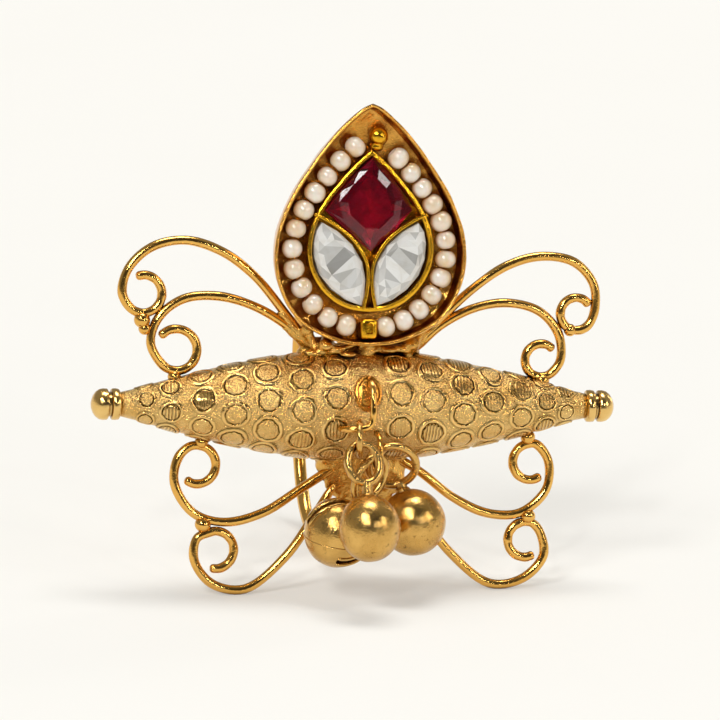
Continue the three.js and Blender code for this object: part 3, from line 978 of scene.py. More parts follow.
def inset_outline(points: Sequence[Vector], inset: float) -> list[Vector]:
    """A closed outline in X and Z moved inwards.

    Args:
        points: The outline, clockwise as the viewer sees it.
        inset: How far, in millimetres.

    Returns:
        The new outline.
    """
    count = len(points)
    moved = []
    for i, point in enumerate(points):
        normals = []
        for start, end in ((points[i - 1], point), (point, points[(i + 1) % count])):
            along = (end - start).normalized()
            normals.append(Vector((along.z, 0, -along.x)))
        bend = 1 + normals[0].dot(normals[1])
        moved.append(point + (normals[0] + normals[1]) * (inset / max(bend, 0.4)))
    return moved


def at_depth(points: Sequence[Vector], y: float) -> list[Vector]:
    """The same outline at one depth."""
    return [Vector((p.x, y, p.z)) for p in points]


def smooth(piece: bpy.types.Object, angle_deg: float = 40.0) -> None:
    """Shades an object smooth up to an angle."""
    take(piece)
    bpy.ops.object.shade_smooth_by_angle(angle=math.radians(angle_deg))


class Workshop:
    """Hands finished pieces over to the frame."""

    def __init__(self, lie: Lie) -> None:
        """Keeps how the ring lies."""
        self.lie = lie
        self.rack = FinishRack()

    def deliver(
        self,
        piece: bpy.types.Object,
        name: str,
        finish: Finish,
        slot: str,
        stands_for: Sequence[str] = (),
        angle_deg: Optional[float] = 40.0,
    ) -> None:
        """Leans a piece back with the ring, dresses it and lets it ride.

        Args:
            piece: The piece, in the ring's own frame.
            name: Its name.
            finish: Its finish.
            slot: A material slot's name; not used.
            stands_for: The CAD nodes it replaces.
            angle_deg: The shading's angle, or None for flat facets.
        """
        take(piece)
        piece.matrix_world = self.lie.matrix() @ piece.matrix_world
        bpy.context.view_layer.update()
        bpy.ops.object.transform_apply(location=True, rotation=True, scale=True)
        if angle_deg is not None:
            smooth(piece, angle_deg)
        piece.name = name
        piece.data.name = name
        piece.data.materials.clear()
        piece.data.materials.append(self.rack.get(finish))
        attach(piece, BODY)
        if stands_for:
            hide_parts(*stands_for)
        log.info("%s: %d faces", name, len(piece.data.polygons))


# ---------------------------------------------------------------- amulet tube


@dataclass(frozen=True)
class DiscColumn:
    """A column of discs round the tube: first and step in degrees up from the front."""

    x: float
    first: float
    step: float
    radius: float


@dataclass
class AmuletTube:
    """The spindle tube with its chased discs, its collars and its domed caps."""

    shop: Workshop
    sides: int = 96
    roll_deg: float = -1.2
    reach_deg: float = 100.0
    disc_sides: int = 40
    body: tuple[tuple[float, float], ...] = (
        (0, 4.35),
        (3.6, 4.25),
        (7.4, 3.72),
        (11.2, 2.98),
        (14.8, 2.1),
        (17.6, 1.3),
        (19.02, 0.98),
    )
    end: tuple[tuple[float, float], ...] = (
        (19.08, 1.18),
        (19.15, 1.26),
        (19.4, 1.29),
        (19.66, 1.26),
        (19.74, 1.16),
        (19.8, 0.98),
        (19.95, 0.98),
        (20.0, 1.16),
        (20.08, 1.26),
        (20.4, 1.27),
        (20.7, 1.2),
        (20.98, 1.0),
        (21.18, 0.72),
        (21.31, 0.38),
    )
    # A disc from its foot inwards: share of its radius, height over the tube
    profile: tuple[tuple[float, float], ...] = (
        (1.2, -0.1),
        (1.14, -0.01),
        (1.08, 0.07),
        (1.0, 0.12),
        (0.9, 0.125),
        (0.84, 0.1),
        (0.8, 0.0),
        (0.765, -0.03),
        (0.73, 0.08),
        (0.68, 0.12),
        (0.5, 0.125),
        (0.25, 0.13),
        (0.08, 0.13),
    )
    columns: tuple[DiscColumn, ...] = (
        DiscColumn(-17.1, 20, 72, 0.7),
        DiscColumn(-15.2, -14, 60, 0.88),
        DiscColumn(-12.7, 13, 51, 1.0),
        DiscColumn(-10.2, -10, 43, 1.08),
        DiscColumn(-7.6, 10, 38.5, 1.12),
        DiscColumn(-4.9, -2, 36, 1.12),
        DiscColumn(-2.2, 12, 35.5, 1.12),
        DiscColumn(3.0, -20, 37, 1.12),
        DiscColumn(5.7, 10, 39, 1.12),
        DiscColumn(8.3, -7, 39, 1.12),
        DiscColumn(10.8, 10, 48, 1.05),
        DiscColumn(13.3, -18, 51, 1.0),
        DiscColumn(15.4, 14, 60, 0.85),
        DiscColumn(17.2, -16, 72, 0.7),
    )

    def half(self) -> list[tuple[float, float]]:
        """The outline from the middle to one end: distance along, radius."""
        knots = [Vector((along, radius, 0)) for along, radius in self.body]
        mirror = Vector((-knots[1].x, knots[1].y, 0))
        line = spline_points([mirror, *knots], 5)[5:]
        return [(p.x, p.y) for p in line] + list(self.end)

    def wall(self, x: float) -> tuple[float, float]:
        """The tube's radius and slope at a distance from its middle."""
        rows = self.half()
        along = abs(x)
        for (a, ra), (b, rb) in zip(rows, rows[1:]):
            if a <= along <= b:
                slope = (rb - ra) / (b - a)
                return ra + slope * (along - a), slope * math.copysign(1, x)
        return rows[-1][1], 0.0

    def lathe(self) -> bpy.types.Object:
        """Draws a circle out along X, ring by ring, and closes both ends."""
        half = self.half()
        rows = [(-a, r) for a, r in reversed(half)] + half[1:]
        put_down()
        bpy.ops.mesh.primitive_circle_add(
            vertices=self.sides,
            radius=rows[0][1] * MM,
            location=(rows[0][0] * MM, 0, 0),
            rotation=(0, math.pi / 2, 0),
        )
        piece = bpy.context.object
        bpy.ops.object.transform_apply(location=True, rotation=True, scale=True)
        edit(piece)
        bpy.ops.mesh.select_all(action="SELECT")
        for (x0, r0), (x1, r1) in zip(rows, rows[1:]):
            step = {"value": ((x1 - x0) * MM, 0, 0)}
            bpy.ops.mesh.extrude_region_move(TRANSFORM_OT_translate=step)
            bpy.ops.transform.resize(value=(1, r1 / r0, r1 / r0), center_override=(x1 * MM, 0, 0))
        put_down()
        for side in (-1, 1):
            edit(piece)
            mesh = bmesh.from_edit_mesh(piece.data)
            for vertex in mesh.verts:
                vertex.select_set(abs(vertex.co.x - side * rows[-1][0] * MM) < 1e-6)
            mesh.select_flush(True)
            bmesh.update_edit_mesh(piece.data)
            tip = {"value": (side * 0.06 * MM, 0, 0)}
            bpy.ops.mesh.extrude_region_move(TRANSFORM_OT_translate=tip)
            bpy.ops.mesh.merge(type="CENTER")
            put_down()
        dent(piece, 2.2, 0.07)
        return piece

    def master_disc(self) -> bpy.types.Object:
        """One disc on the flat: X and Y in shares of its radius, Z its height in millimetres."""
        put_down()
        bpy.ops.mesh.primitive_circle_add(vertices=self.disc_sides, radius=self.profile[0][0])
        piece = bpy.context.object
        edit(piece)
        bpy.ops.mesh.select_all(action="SELECT")
        bpy.ops.transform.translate(value=(0, 0, self.profile[0][1]))
        for (r0, h0), (r1, h1) in zip(self.profile, self.profile[1:]):
            bpy.ops.mesh.extrude_region_move(TRANSFORM_OT_translate={"value": (0, 0, h1 - h0)})
            bpy.ops.transform.resize(value=(r1 / r0, r1 / r0, 1), center_override=(0, 0, h1))
        bpy.ops.mesh.edge_face_add()
        put_down()
        return piece

    def disc(
        self, master: bpy.types.Object, column: DiscColumn, angle_deg: float, draw: random.Random
    ) -> bpy.types.Object:
        """A copy of the master laid on the tube's wall.

        Args:
            master: The disc on the flat.
            column: The column it stands in.
            angle_deg: How far up from the front.
            draw: Where its small irregularities come from.

        Returns:
            The disc.
        """
        piece = master.copy()
        piece.data = master.data.copy()
        bpy.context.scene.collection.objects.link(piece)
        scallops = draw.choice((8, 9, 10))
        turn = draw.uniform(0, math.tau)
        size = column.radius * draw.uniform(0.97, 1.04)
        squeeze = draw.uniform(0.94, 1.04)
        pressed = draw.uniform(0.8, 1.15)
        marks = [draw.uniform(0, math.tau) for _ in range(2)]
        lined = draw.uniform(0.5, 1.0) if draw.random() < 0.5 else draw.uniform(0.0, 0.2)
        discs, grooves, grounds = [], [], []
        crease_shade = draw.uniform(0.25, 1.0)
        radius, slope = self.wall(column.x)
        start = math.radians(angle_deg)
        for vertex in piece.data.vertices:
            share = math.hypot(vertex.co.x, vertex.co.y)
            around = math.atan2(vertex.co.y, vertex.co.x)
            discs.append(lined if share < 0.72 else 0.0)
            crease = max(0.0, min(1.0, (share - 1.06) / 0.08))
            # Painted shade: the groove round each disc's face and the crease at its foot, darker on some discs than
            # on others
            grooves.append(0.9 * max(0.0, 1 - abs(share - 0.78) / 0.06) + 1.0 * crease_shade * crease)
            grounds.append(0.25 if 0.8 < share < 1.1 else 0.9)
            edge = max(0.0, 1 - abs(share - 0.76) / 0.2)
            part = ((around + turn) * scallops / math.tau) % 1.0
            bent = 1 + edge * 0.1 * (abs(2 * part - 1) ** 1.5 - 0.35)
            wander = 1 + 0.03 * math.sin(2 * around + marks[0]) + 0.02 * math.sin(3 * around + marks[1])
            reach = share * bent * wander * size
            along = reach * math.cos(around)
            up = reach * math.sin(around) * squeeze
            angle = start + up / radius
            height = vertex.co.z * pressed
            here = self.wall(column.x + along)[0] + height
            vertex.co = (
                Vector((column.x + along - slope * height, -here * math.cos(angle), here * math.sin(angle)))
                * MM
            )
        for name, values in (("disc", discs), ("groove", grooves), ("ground", grounds)):
            attribute = piece.data.attributes.new(name, "FLOAT", "POINT")
            attribute.data.foreach_set("value", values)
        return piece

    def build(self) -> None:
        """Makes the tube with all its discs as one piece."""
        body = self.lathe()
        for name in ("disc", "groove", "ground"):
            body.data.attributes.new(name, "FLOAT", "POINT")
        worked = [1.0 if abs(v.co.x) < 18.9 * MM else 0.12 for v in body.data.vertices]
        body.data.attributes["ground"].data.foreach_set("value", worked)
        master = self.master_disc()
        draw = random.Random(SEED)
        discs = []
        for column in self.columns:
            k = math.ceil((-self.reach_deg - column.first) / column.step)
            while column.first + k * column.step <= self.reach_deg:
                discs.append(self.disc(master, column, column.first + k * column.step, draw))
                k += 1
        bpy.data.objects.remove(master, do_unlink=True)
        piece = joined("amulet_tube", body, *discs)
        edit(piece)
        bpy.ops.mesh.select_all(action="SELECT")
        bpy.ops.mesh.normals_make_consistent(inside=False)
        put_down()
        piece.matrix_world = Matrix.Rotation(math.radians(-self.roll_deg), 4, "Y")
        self.shop.deliver(piece, "amulet_tube", TUBE_GOLD, GOLD_SLOT, [METALWORK], 50)


# ---------------------------------------------------------------- wings


@dataclass(frozen=True)
class Curl:
    """An arc round (x, z), in degrees, whose radius grows to open_radius at the wire's end."""

    x: float
    z: float
    radius: float
    open_radius: float
    start: float
    end: float


@dataclass(frozen=True)
class Scroll:
    """One wing wire: its bow from the root, then its curl."""

    name: str
    bow: tuple[tuple[float, float], ...]
    curl: Curl

    def line(self) -> list[Vector]:
        """The middle line of the wire."""
        points = [Vector((x, 0, z)) for x, z in self.bow]
        steps = math.ceil(abs(self.curl.end - self.curl.start) / 32)
        for i in range(steps + 1):
            share = i / steps
            angle = math.radians(self.curl.start + (self.curl.end - self.curl.start) * share)
            reach = self.curl.radius + (self.curl.open_radius - self.curl.radius) * share * share
            points.append(
                Vector((self.curl.x + reach * math.cos(angle), 0, self.curl.z + reach * math.sin(angle)))
            )
        return spline_points(points, 7)


@dataclass
class Wings:
    """The eight scroll wires and the granules where their curls close."""

    shop: Workshop
    wire_radius: float = 0.375
    scrolls: tuple[Scroll, ...] = (
        Scroll(
            "upper_left_outer",
            ((-3.9, 5.3), (-5.7, 7.6), (-8.0, 10.4), (-10.6, 12.4), (-13.6, 13.4), (-16.4, 12.9),
             (-18.3, 11.2), (-18.8, 9.3)),
            Curl(-17.1, 9.15, 1.5, 1.55, 222, 472),
        ),
        Scroll(
            "upper_left_inner",
            ((-3.6, 4.6), (-5.4, 6.4), (-8.0, 8.0), (-11.0, 8.9), (-13.9, 8.7), (-15.9, 7.2),
             (-16.5, 5.2)),
            Curl(-14.4, 4.6, 1.6, 1.8, 222, 500),
        ),
        Scroll(
            "upper_right_outer",
            ((5.2, 4.9), (7.4, 7.1), (9.8, 9.2), (12.6, 11.0), (15.4, 11.7), (18.1, 11.2),
             (19.7, 9.4), (19.8, 7.3)),
            Curl(18.3, 7.05, 1.35, 1.25, 318, 32),
        ),
        Scroll(
            "upper_right_inner",
            ((4.9, 4.3), (7.0, 6.2), (9.8, 7.6), (12.6, 8.0), (15.2, 7.3), (16.8, 5.5),
             (17.0, 3.4)),
            Curl(15.4, 3.35, 1.35, 1.3, 318, 40),
        ),
        Scroll(
            "lower_left_inner",
            ((-1.2, -4.7), (-4.4, -6.7), (-7.4, -8.5), (-10.5, -9.2), (-13.1, -8.4), (-14.6, -6.0),
             (-14.3, -4.0)),
            Curl(-12.8, -4.6, 1.6, 1.45, 112, -130),
        ),
        Scroll(
            "lower_left_outer",
            ((-1.6, -6.4), (-3.4, -9.1), (-5.6, -12.1), (-8.9, -14.6), (-11.6, -14.1),
             (-13.0, -12.2), (-12.8, -10.5)),
            Curl(-11.3, -11.4, 1.5, 1.55, 118, -106),
        ),
        Scroll(
            "lower_right_inner",
            ((3.4, -4.2), (5.5, -5.5), (8.2, -7.6), (11.0, -8.9), (13.7, -8.9), (15.8, -7.1),
             (16.0, -4.8)),
            Curl(14.55, -4.85, 1.5, 1.4, 72, 306),
        ),
        Scroll(
            "lower_right_outer",
            ((3.6, -6.2), (5.4, -8.7), (7.9, -12.0), (11.2, -14.57), (13.9, -14.2), (15.6, -12.4),
             (15.3, -10.5)),
            Curl(14.1, -11.1, 1.45, 1.4, 68, 300),
        ),
    )
    # Where each granule stands and its radius
    granules: tuple[tuple[float, float, float], ...] = (
        (-17.2, 7.1, 0.66),
        (-17.0, 6.4, 0.5),
        (17.75, 5.75, 0.5),
        (-14.6, 2.5, 0.55),
        (15.5, 1.7, 0.55),
        (-12.4, -2.75, 0.55),
        (14.3, -2.85, 0.6),
        (-12.3, -9.35, 0.66),
        (14.3, -9.2, 0.62),
    )

    def build(self) -> None:
        """Makes the wires one by one, then the granules."""
        for i, scroll in enumerate(self.scrolls):
            piece = wire(scroll.name, scroll.line(), self.wire_radius, uneven=0.05, seed=SEED + i)
            self.shop.deliver(piece, "wing_" + scroll.name, WIRE_GOLD, GOLD_SLOT, [METALWORK], 60)
        balls = [lump(Vector((x, -0.05, z)), r, (1, 1, 1)) for x, z, r in self.granules]
        piece = joined("granules", *balls)
        self.shop.deliver(piece, "wing_granules", WIRE_GOLD, GOLD_SLOT, [METALWORK], 60)


# ---------------------------------------------------------------- shank, lug, solder and hangers


@dataclass
class Shank:
    """The plain oval wire round the finger."""

    shop: Workshop
    wire_radius: float = 0.53
    half_height: float = 11.07
    half_depth: float = 9.47
    y: float = 12.6
    z: float = -1.0
    squareness: float = 2.5

    def build(self) -> None:
        """Makes the shank."""
        points = []
        count = 132
        for i in range(count):
            angle = i * math.tau / count
            bends = [
                math.copysign(abs(v) ** (2 / self.squareness), v)
                for v in (math.cos(angle), math.sin(angle))
            ]
            points.append(
                Vector((0, self.y + self.half_depth * bends[0], self.z + self.half_height * bends[1]))
            )
        piece = wire("shank", points, self.wire_radius, closed=True, sides=20, uneven=0.02)
        self.shop.deliver(piece, "finger_shank", WIRE_GOLD, GOLD_SLOT, [METALWORK], 60)


@dataclass(frozen=True)
class Blob:
    """A lump of solder: its middle, radius and stretch."""

    x: float
    y: float
    z: float
    radius: float
    stretch: tuple[float, float, float] = (1, 1, 1)


@dataclass
class Solder:
    """What holds the setting and the lower wings on the tube: run solder, struts and the lug."""

    shop: Workshop
    grain: float = 0.12
    struts: tuple[tuple[tuple[float, float, float], tuple[float, float, float], float], ...] = (
        ((-2.3, -0.9, 3.4), (-2.3, -0.9, 6.3), 0.5),
        ((4.2, -0.8, 3.4), (4.2, -0.8, 6.4), 0.5),
        ((0.9, -0.65, 3.6), (0.9, -0.65, 6.2), 0.85),
        ((-2.4, -0.6, 3.9), (-4.3, -0.2, 5.6), 0.42),
        ((-4.2, -0.1, 5.4), (-6.0, 0.0, 7.7), 0.36),
        ((-4.0, 0.0, 4.9), (-5.6, 0.0, 6.5), 0.36),
        ((4.3, -0.5, 4.2), (5.6, 0.0, 5.2), 0.4),
        ((5.4, -0.1, 5.0), (7.3, 0.0, 6.8), 0.36),
        ((-4.1, -1.1, 4.2), (-1.3, -1.3, 4.55), 0.42),
        ((-1.4, -1.4, 4.6), (0.2, -1.1, 5.1), 0.26),
        ((-3.2, -0.9, 4.4), (-3.9, -0.6, 6.3), 0.34),
        ((2.0, -1.3, 4.5), (4.8, -1.0, 4.5), 0.42),
        ((4.8, -0.8, 4.6), (5.6, -0.4, 6.2), 0.34),
        ((1.6, -1.2, 4.3), (2.3, -0.9, 5.7), 0.24),
        ((-3.4, 0.3, 4.3), (4.2, 0.3, 4.3), 0.7),
        ((-4.2, 0.2, 4.9), (-1.6, 0.2, 5.1), 0.55),
        ((1.8, 0.2, 5.0), (4.6, 0.2, 5.1), 0.5),
    )
    blobs: tuple[Blob, ...] = (
        Blob(-2.5, -1.3, 4.9, 0.62),
        Blob(-3.9, -0.6, 6.1, 0.55, (1, 1, 1.3)),
        Blob(4.5, -1.1, 4.85, 0.55, (1.3, 1, 0.9)),
        Blob(2.6, -1.5, 4.45, 0.4, (1.6, 1, 0.6)),
        Blob(-0.8, -1.9, 4.2, 0.4, (1.8, 1, 0.6)),
        Blob(-3.6, 0.2, 4.2, 0.8, (1.3, 1, 0.9)),
        Blob(4.4, 0.2, 4.2, 0.8, (1.3, 1, 0.9)),
        Blob(0.4, 0.9, 4.3, 0.8, (2.4, 1, 0.8)),
    )
    lug_corners: tuple[tuple[float, float, float], ...] = (
        (-2.7, -0.7, -3.6),
        (1.0, -1.2, -3.7),
        (4.2, -0.6, -3.5),
        (4.4, 1.4, -3.6),
        (0.8, 2.5, -3.5),
        (-2.9, 1.3, -3.6),
        (-3.1, 0.5, -5.2),
        (4.5, 0.4, -5.4),
        (-2.2, 0.4, -6.8),
        (3.9, 0.5, -6.9),
        (0.7, 2.4, -6.4),
        (0.2, 1.1, -8.9),
        (2.6, 1.0, -8.7),
        (1.4, 2.1, -8.6),
    )

    def lug(self) -> bpy.types.Object:
        """The lump under the tube: the hull of its corners, roughened."""
        put_down()
        bpy.ops.mesh.primitive_circle_add(vertices=len(self.lug_corners), radius=MM)
        piece = bpy.context.object
        for vertex, corner in zip(piece.data.vertices, self.lug_corners):
            vertex.co = Vector(corner) * MM
        edit(piece)
        bpy.ops.mesh.select_all(action="SELECT")
        bpy.ops.mesh.convex_hull()
        put_down()
        return piece

    def build(self) -> None:
        """Makes the solder over the tube and the lug under it."""
        bars = [
            wire("strut", [Vector(a), (Vector(a) + Vector(b)) / 2, Vector(b)], r, blunt=False)
            for a, b, r in self.struts
        ]
        balls = [lump(Vector((b.x, b.y, b.z)), b.radius, b.stretch) for b in self.blobs]
        piece = joined("solder", *bars, *balls)
        melt(piece, self.grain, 4)
        dent(piece, 0.5, 0.16)
        self.shop.deliver(piece, "setting_solder", SOLDER_GOLD, GOLD_SLOT, [METALWORK], 60)
        lug = self.lug()
        melt(lug, self.grain, 6)
        dent(lug, 1.4, 0.5)
        dent(lug, 0.8, 0.3)
        dent(lug, 0.5, 0.14)
        self.shop.deliver(lug, "lower_lug", SOLDER_GOLD, GOLD_SLOT, [METALWORK], 60)


@dataclass
class Hangers:
    """The bail with its medallion, the jump link and the rear bells' staple."""

    shop: Workshop
    link_radius: float = 0.25
    upright: tuple[tuple[float, float, float], ...] = (
        (0.45, -3.4, 2.3),
        (0.45, -4.6, 2.25),
        (0.45, -5.3, 1.7),
        (0.45, -5.6, 0.8),
        (0.45, -5.65, -0.1),
        (0.36, -5.62, -0.85),
        (0.02, -5.6, -1.3),
        (-0.55, -5.6, -1.47),
        (-1.4, -5.35, -1.5),
        (-1.85, -4.7, -1.5),
        (-1.9, -3.6, -1.5),
    )

    def medallion(self) -> bpy.types.Object:
        """The oval plate: a rim, a groove and a raised middle with upright strokes."""
        middle, up = Vector((0.3, -4.2, 0.0)), math.radians(17)
        rings = ((1.15, 0.3), (1.12, -0.3), (1.05, -0.52), (0.93, -0.56), (0.84, -0.44), (0.76, -0.5), (0.5, -0.54))
        turn = Matrix.Rotation(-up, 3, "X")
        outlines = [
            [turn @ p for p in oval(Vector((0, middle.y + y, 0)), Vector((1, 0, 0)), Vector((0, 0, -1)), r, r * 1.3, 36)]
            for r, y in rings
        ]
        outlines = [[p + Vector((middle.x, 0, 0)) for p in ring] for ring in outlines]
        piece = outline_face("medallion", outlines[0])
        drawn_out(piece, outlines[1:])
        tidy_mesh(piece)
        return piece

    def build(self) -> None:
        """Makes the four pieces."""
        line = spline_points([Vector(p) for p in self.upright], 6)
        piece = wire("bail", line, self.link_radius * 1.1, uneven=0.08)
        self.shop.deliver(piece, "bail", WIRE_GOLD, GOLD_SLOT, [METALWORK], 60)
        self.shop.deliver(self.medallion(), "bail_medallion", CUP_GOLD, GOLD_SLOT, [METALWORK], 50)
        ring = oval(Vector((1.1, -3.95, -3.35)), Vector((0, 1, 0)), Vector((0, 0, 1)), 1.35, 1.35, 48)
        piece = wire("staple", ring, self.link_radius * 0.85, closed=True)
        self.shop.deliver(piece, "bell_staple", WIRE_GOLD, GOLD_SLOT, [METALWORK], 60)
        back = Vector((0.208, 0.978, 0)).normalized()
        ring = oval(Vector((-0.75, -5.85, -2.2)), back, Vector((0, 0, 1)), 1.5, 1.32, 56)
        piece = wire("link", ring, self.link_radius, closed=True, uneven=0.04)
        self.shop.deliver(piece, "jump_ring", BELL_GOLD, GOLD_SLOT, ["jump_link"], 60)


# ---------------------------------------------------------------- setting


@dataclass(frozen=True)
class Stone:
    """A cut stone: its girdle across and up in the setting, and its middle."""

    node: str
    girdle: tuple[tuple[float, float], ...]
    x: float
    z: float
    side: int
    finish: StoneFinish
    slot: str


RUBY_GIRDLE = (
    (0.15, 19.85),
    (1.1, 19.0),
    (2.35, 17.5),
    (3.35, 15.85),
    (1.9, 14.1),
    (0.1, 12.62),
    (-1.75, 14.2),
    (-3.5, 15.75),
    (-2.4, 17.25),
    (-1.0, 18.8),
)
WHITE_GIRDLE = (
    (4.34, 14.05),
    (4.52, 13.1),
    (4.44, 11.9),
    (3.97, 10.6),
    (3.05, 9.5),
    (1.85, 8.66),
    (0.65, 8.22),
    (0.44, 9.0),
    (0.38, 10.3),
    (0.66, 11.65),
    (1.45, 12.95),
    (2.6, 14.0),
    (3.9, 14.7),
)


@dataclass
class Setting:
    """The pear-shaped cup with its channel of pearls and its collet of three stones."""

    shop: Workshop
    x: float = 0.52
    turn_deg: float = 1.0
    front: float = -3.3
    back: float = 0.3
    wall: float = 0.35
    taper: float = 0.55
    floor: float = -1.6
    collet_front: float = -3.15
    collet_wall: float = 0.42
    pearl_radius: float = 0.88
    pearls_a_side: int = 12
    cup_half: tuple[tuple[float, float], ...] = (
        (0, 24.28),
        (0.55, 24.05),
        (1.2, 23.6),
        (2.5, 22.4),
        (3.9, 20.8),
        (5.1, 19.1),
        (6.2, 17.4),
        (7.1, 15.5),
        (7.65, 13.7),
        (7.8, 12.0),
        (7.6, 10.4),
        (6.9, 8.5),
        (5.7, 6.9),
        (3.8, 5.75),
        (1.9, 5.1),
        (0, 4.95),
    )
    collet_half: tuple[tuple[float, float], ...] = (
        (0, 20.6),
        (1.1, 19.7),
        (2.4, 18.3),
        (3.7, 16.7),
        (4.7, 14.9),
        (5.15, 13.1),
        (5.0, 11.4),
        (4.25, 9.8),
        (2.9, 8.45),
        (1.4, 7.8),
        (0, 7.65),
    )
    pearl_path: tuple[tuple[float, float], ...] = (
        (1.3, 20.8),
        (2.4, 19.75),
        (3.4, 18.6),
        (4.4, 17.3),
        (5.3, 15.95),
        (5.95, 14.6),
        (6.3, 12.9),
        (6.15, 11.2),
        (5.6, 9.8),
        (4.7, 8.4),
        (3.5, 7.3),
        (2.4, 6.75),
        (1.2, 6.4),
    )
    # The partition between the stones: its left line from the wall down to the foot
    partition: tuple[tuple[float, float], ...] = (
        (-4.6, 15.45),
        (-3.95, 15.2),
        (-2.6, 14.42),
        (-1.38, 13.4),
        (-0.66, 12.38),
        (-0.24, 11.45),
        (-0.14, 10.4),
        (-0.22, 9.3),
        (-0.42, 8.3),
        (-0.55, 7.8),
    )
    stones: tuple[Stone, ...] = (
        Stone("ruby", RUBY_GIRDLE, 0.05, 16.2, 1, RUBY, "ruby"),
        Stone("white_stone_left", WHITE_GIRDLE, -2.55, 11.7, -1, CLEAR, "white_stone"),
        Stone("white_stone_right", WHITE_GIRDLE, 2.55, 11.7, 1, CLEAR, "white_stone"),
    )
    runs: tuple[tuple[str, int, float, float], ...] = (
        ("left", -1, 0.0, 17.9),
        ("right", 1, 1.3, 18.3),
    )

    def seat(self) -> Matrix:
        """From the setting's own place to the ring's frame."""
        turn = Matrix.Rotation(math.radians(self.turn_deg), 4, "Y")
        return Matrix.Translation((self.x * MM, 0, 0)) @ turn

    def outline(self, half: Sequence[tuple[float, float]], steps: int = 4) -> list[Vector]:
        """A whole outline from its half, clockwise as the viewer sees it.

        Args:
            half: Half width and height, from the point down to the foot.
            steps: How finely each stretch is divided.

        Returns:
            The outline at depth 0.
        """
        line = spline_points([Vector((x, 0, z)) for x, z in half], steps)
        left = [Vector((-p.x, 0, p.z)) for p in reversed(line[1:-1])]
        return line + left

    def deliver(
        self,
        piece: bpy.types.Object,
        name: str,
        finish: Finish,
        slot: str,
        nodes: Sequence[str],
        angle_deg: Optional[float] = 40.0,
    ) -> None:
        """Seats a piece in the ring's frame and hands it over."""
        piece.matrix_world = self.seat() @ piece.matrix_world
        self.shop.deliver(piece, name, finish, slot, nodes, angle_deg)

    def cup(self) -> bpy.types.Object:
        """The cup: its back face drawn forward, its front face inset and pressed in."""
        line = self.outline(self.cup_half)
        outer = [(self.taper, self.back), (self.taper * 0.7, -0.6), (0.12, -2.5), (0.1, -2.62)]
        outer += [(0.16, -2.68), (0.14, -2.74), (0.03, -2.82), (0.0, -2.95), (0.0, self.front + 0.12)]
        inner = [
            (0.04, self.front + 0.04),
            (0.12, self.front),
            (0.2, self.front + 0.02),
            (self.wall - 0.08, self.front + 0.1),
            (self.wall - 0.03, self.front + 0.22),
            (self.wall + 0.05, self.floor - 0.5),
            (self.wall + 0.1, self.floor - 0.1),
            (self.wall + 0.3, self.floor),
        ]
        rings = [at_depth(inset_outline(line, inset), y) for inset, y in outer + inner]
        piece = outline_face("cup", rings[0])
        drawn_out(piece, rings[1:])
        tidy_mesh(piece)
        dent(piece, 1.6, 0.09)
        return piece

    def collet(self) -> bpy.types.Object:
        """The collet's wall, with a rounded edge and a sunk floor."""
        line = self.outline(self.collet_half)
        top, deep = self.collet_front, self.floor - 0.12
        wall = self.collet_wall
        steps = [
            (-0.12, self.floor + 0.1),
            (-0.06, self.floor - 0.35),
            (0.0, top + 0.3),
            (0.05, top + 0.06),
            (0.14, top),
            (wall - 0.12, top),
            (wall - 0.02, top + 0.1),
            (wall + 0.02, top + 0.5),
            (wall + 0.04, deep),
        ]
        rings = [at_depth(inset_outline(line, inset), y) for inset, y in steps]
        piece = outline_face("collet", rings[0])
        drawn_out(piece, rings[1:])
        tidy_mesh(piece)
        dent(piece, 0.9, 0.07)
        return piece

    def divider(self, side: int) -> bpy.types.Object:
        """One strip of the V partition, bent on edge.

        Args:
            side: 1 for the left strip, -1 for the right.

        Returns:
            The strip.
        """
        line = spline_points([Vector((x * side, 0, z)) for x, z in self.partition], 6)
        half, top, deep = 0.13, self.collet_front - 0.02, self.floor + 0.05
        edges: list[list[Vector]] = [[], []]
        for i, point in enumerate(line):
            along = (line[min(i + 1, len(line) - 1)] - line[max(i - 1, 0)]).normalized()
            out = Vector((along.z, 0, -along.x))
            edges[0].append(point + out * half)
            edges[1].append(point - out * half)
        outline = edges[0] + edges[1][::-1]
        outline = outline if side > 0 else outline[::-1]
        piece = outline_face("divider", at_depth(outline, deep))
        edit(piece)
        bpy.ops.mesh.select_all(action="SELECT")
        step = {"value": (0, (top - deep) * MM, 0)}
        bpy.ops.mesh.extrude_region_move(TRANSFORM_OT_translate=step)
        put_down()
        tidy_mesh(piece)
        add_modifier(piece, "BEVEL", width=0.07 * MM, segments=3, limit_method="ANGLE")
        return piece

    def placed(self, stone: Stone, scale: float, y: float) -> list[Vector]:
        """A stone's girdle scaled about the stone's middle.

        Args:
            stone: The stone.
            scale: The girdle's scale.
            y: The depth.

        Returns:
            The outline, clockwise as the viewer sees it.
        """
        corners = [
            Vector((stone.x + (x * stone.side - stone.x) * scale, y, stone.z + (z - stone.z) * scale))
            for x, z in stone.girdle
        ]
        return corners if stone.side > 0 else corners[::-1]

    def cut_stone(self, stone: Stone) -> bpy.types.Object:
        """A stone drawn out from its back to its table, with every other facet turned."""
        back = self.floor - 0.28
        steps = [(0.14, back), (0.6, -2.12), (1.02, -2.74), (1.02, -2.84), (0.88, -3.1), (0.66, -3.36)]
        rings = []
        for k, (scale, y) in enumerate(steps):
            ring = self.placed(stone, scale, y)
            if k in (0, 4, 5):
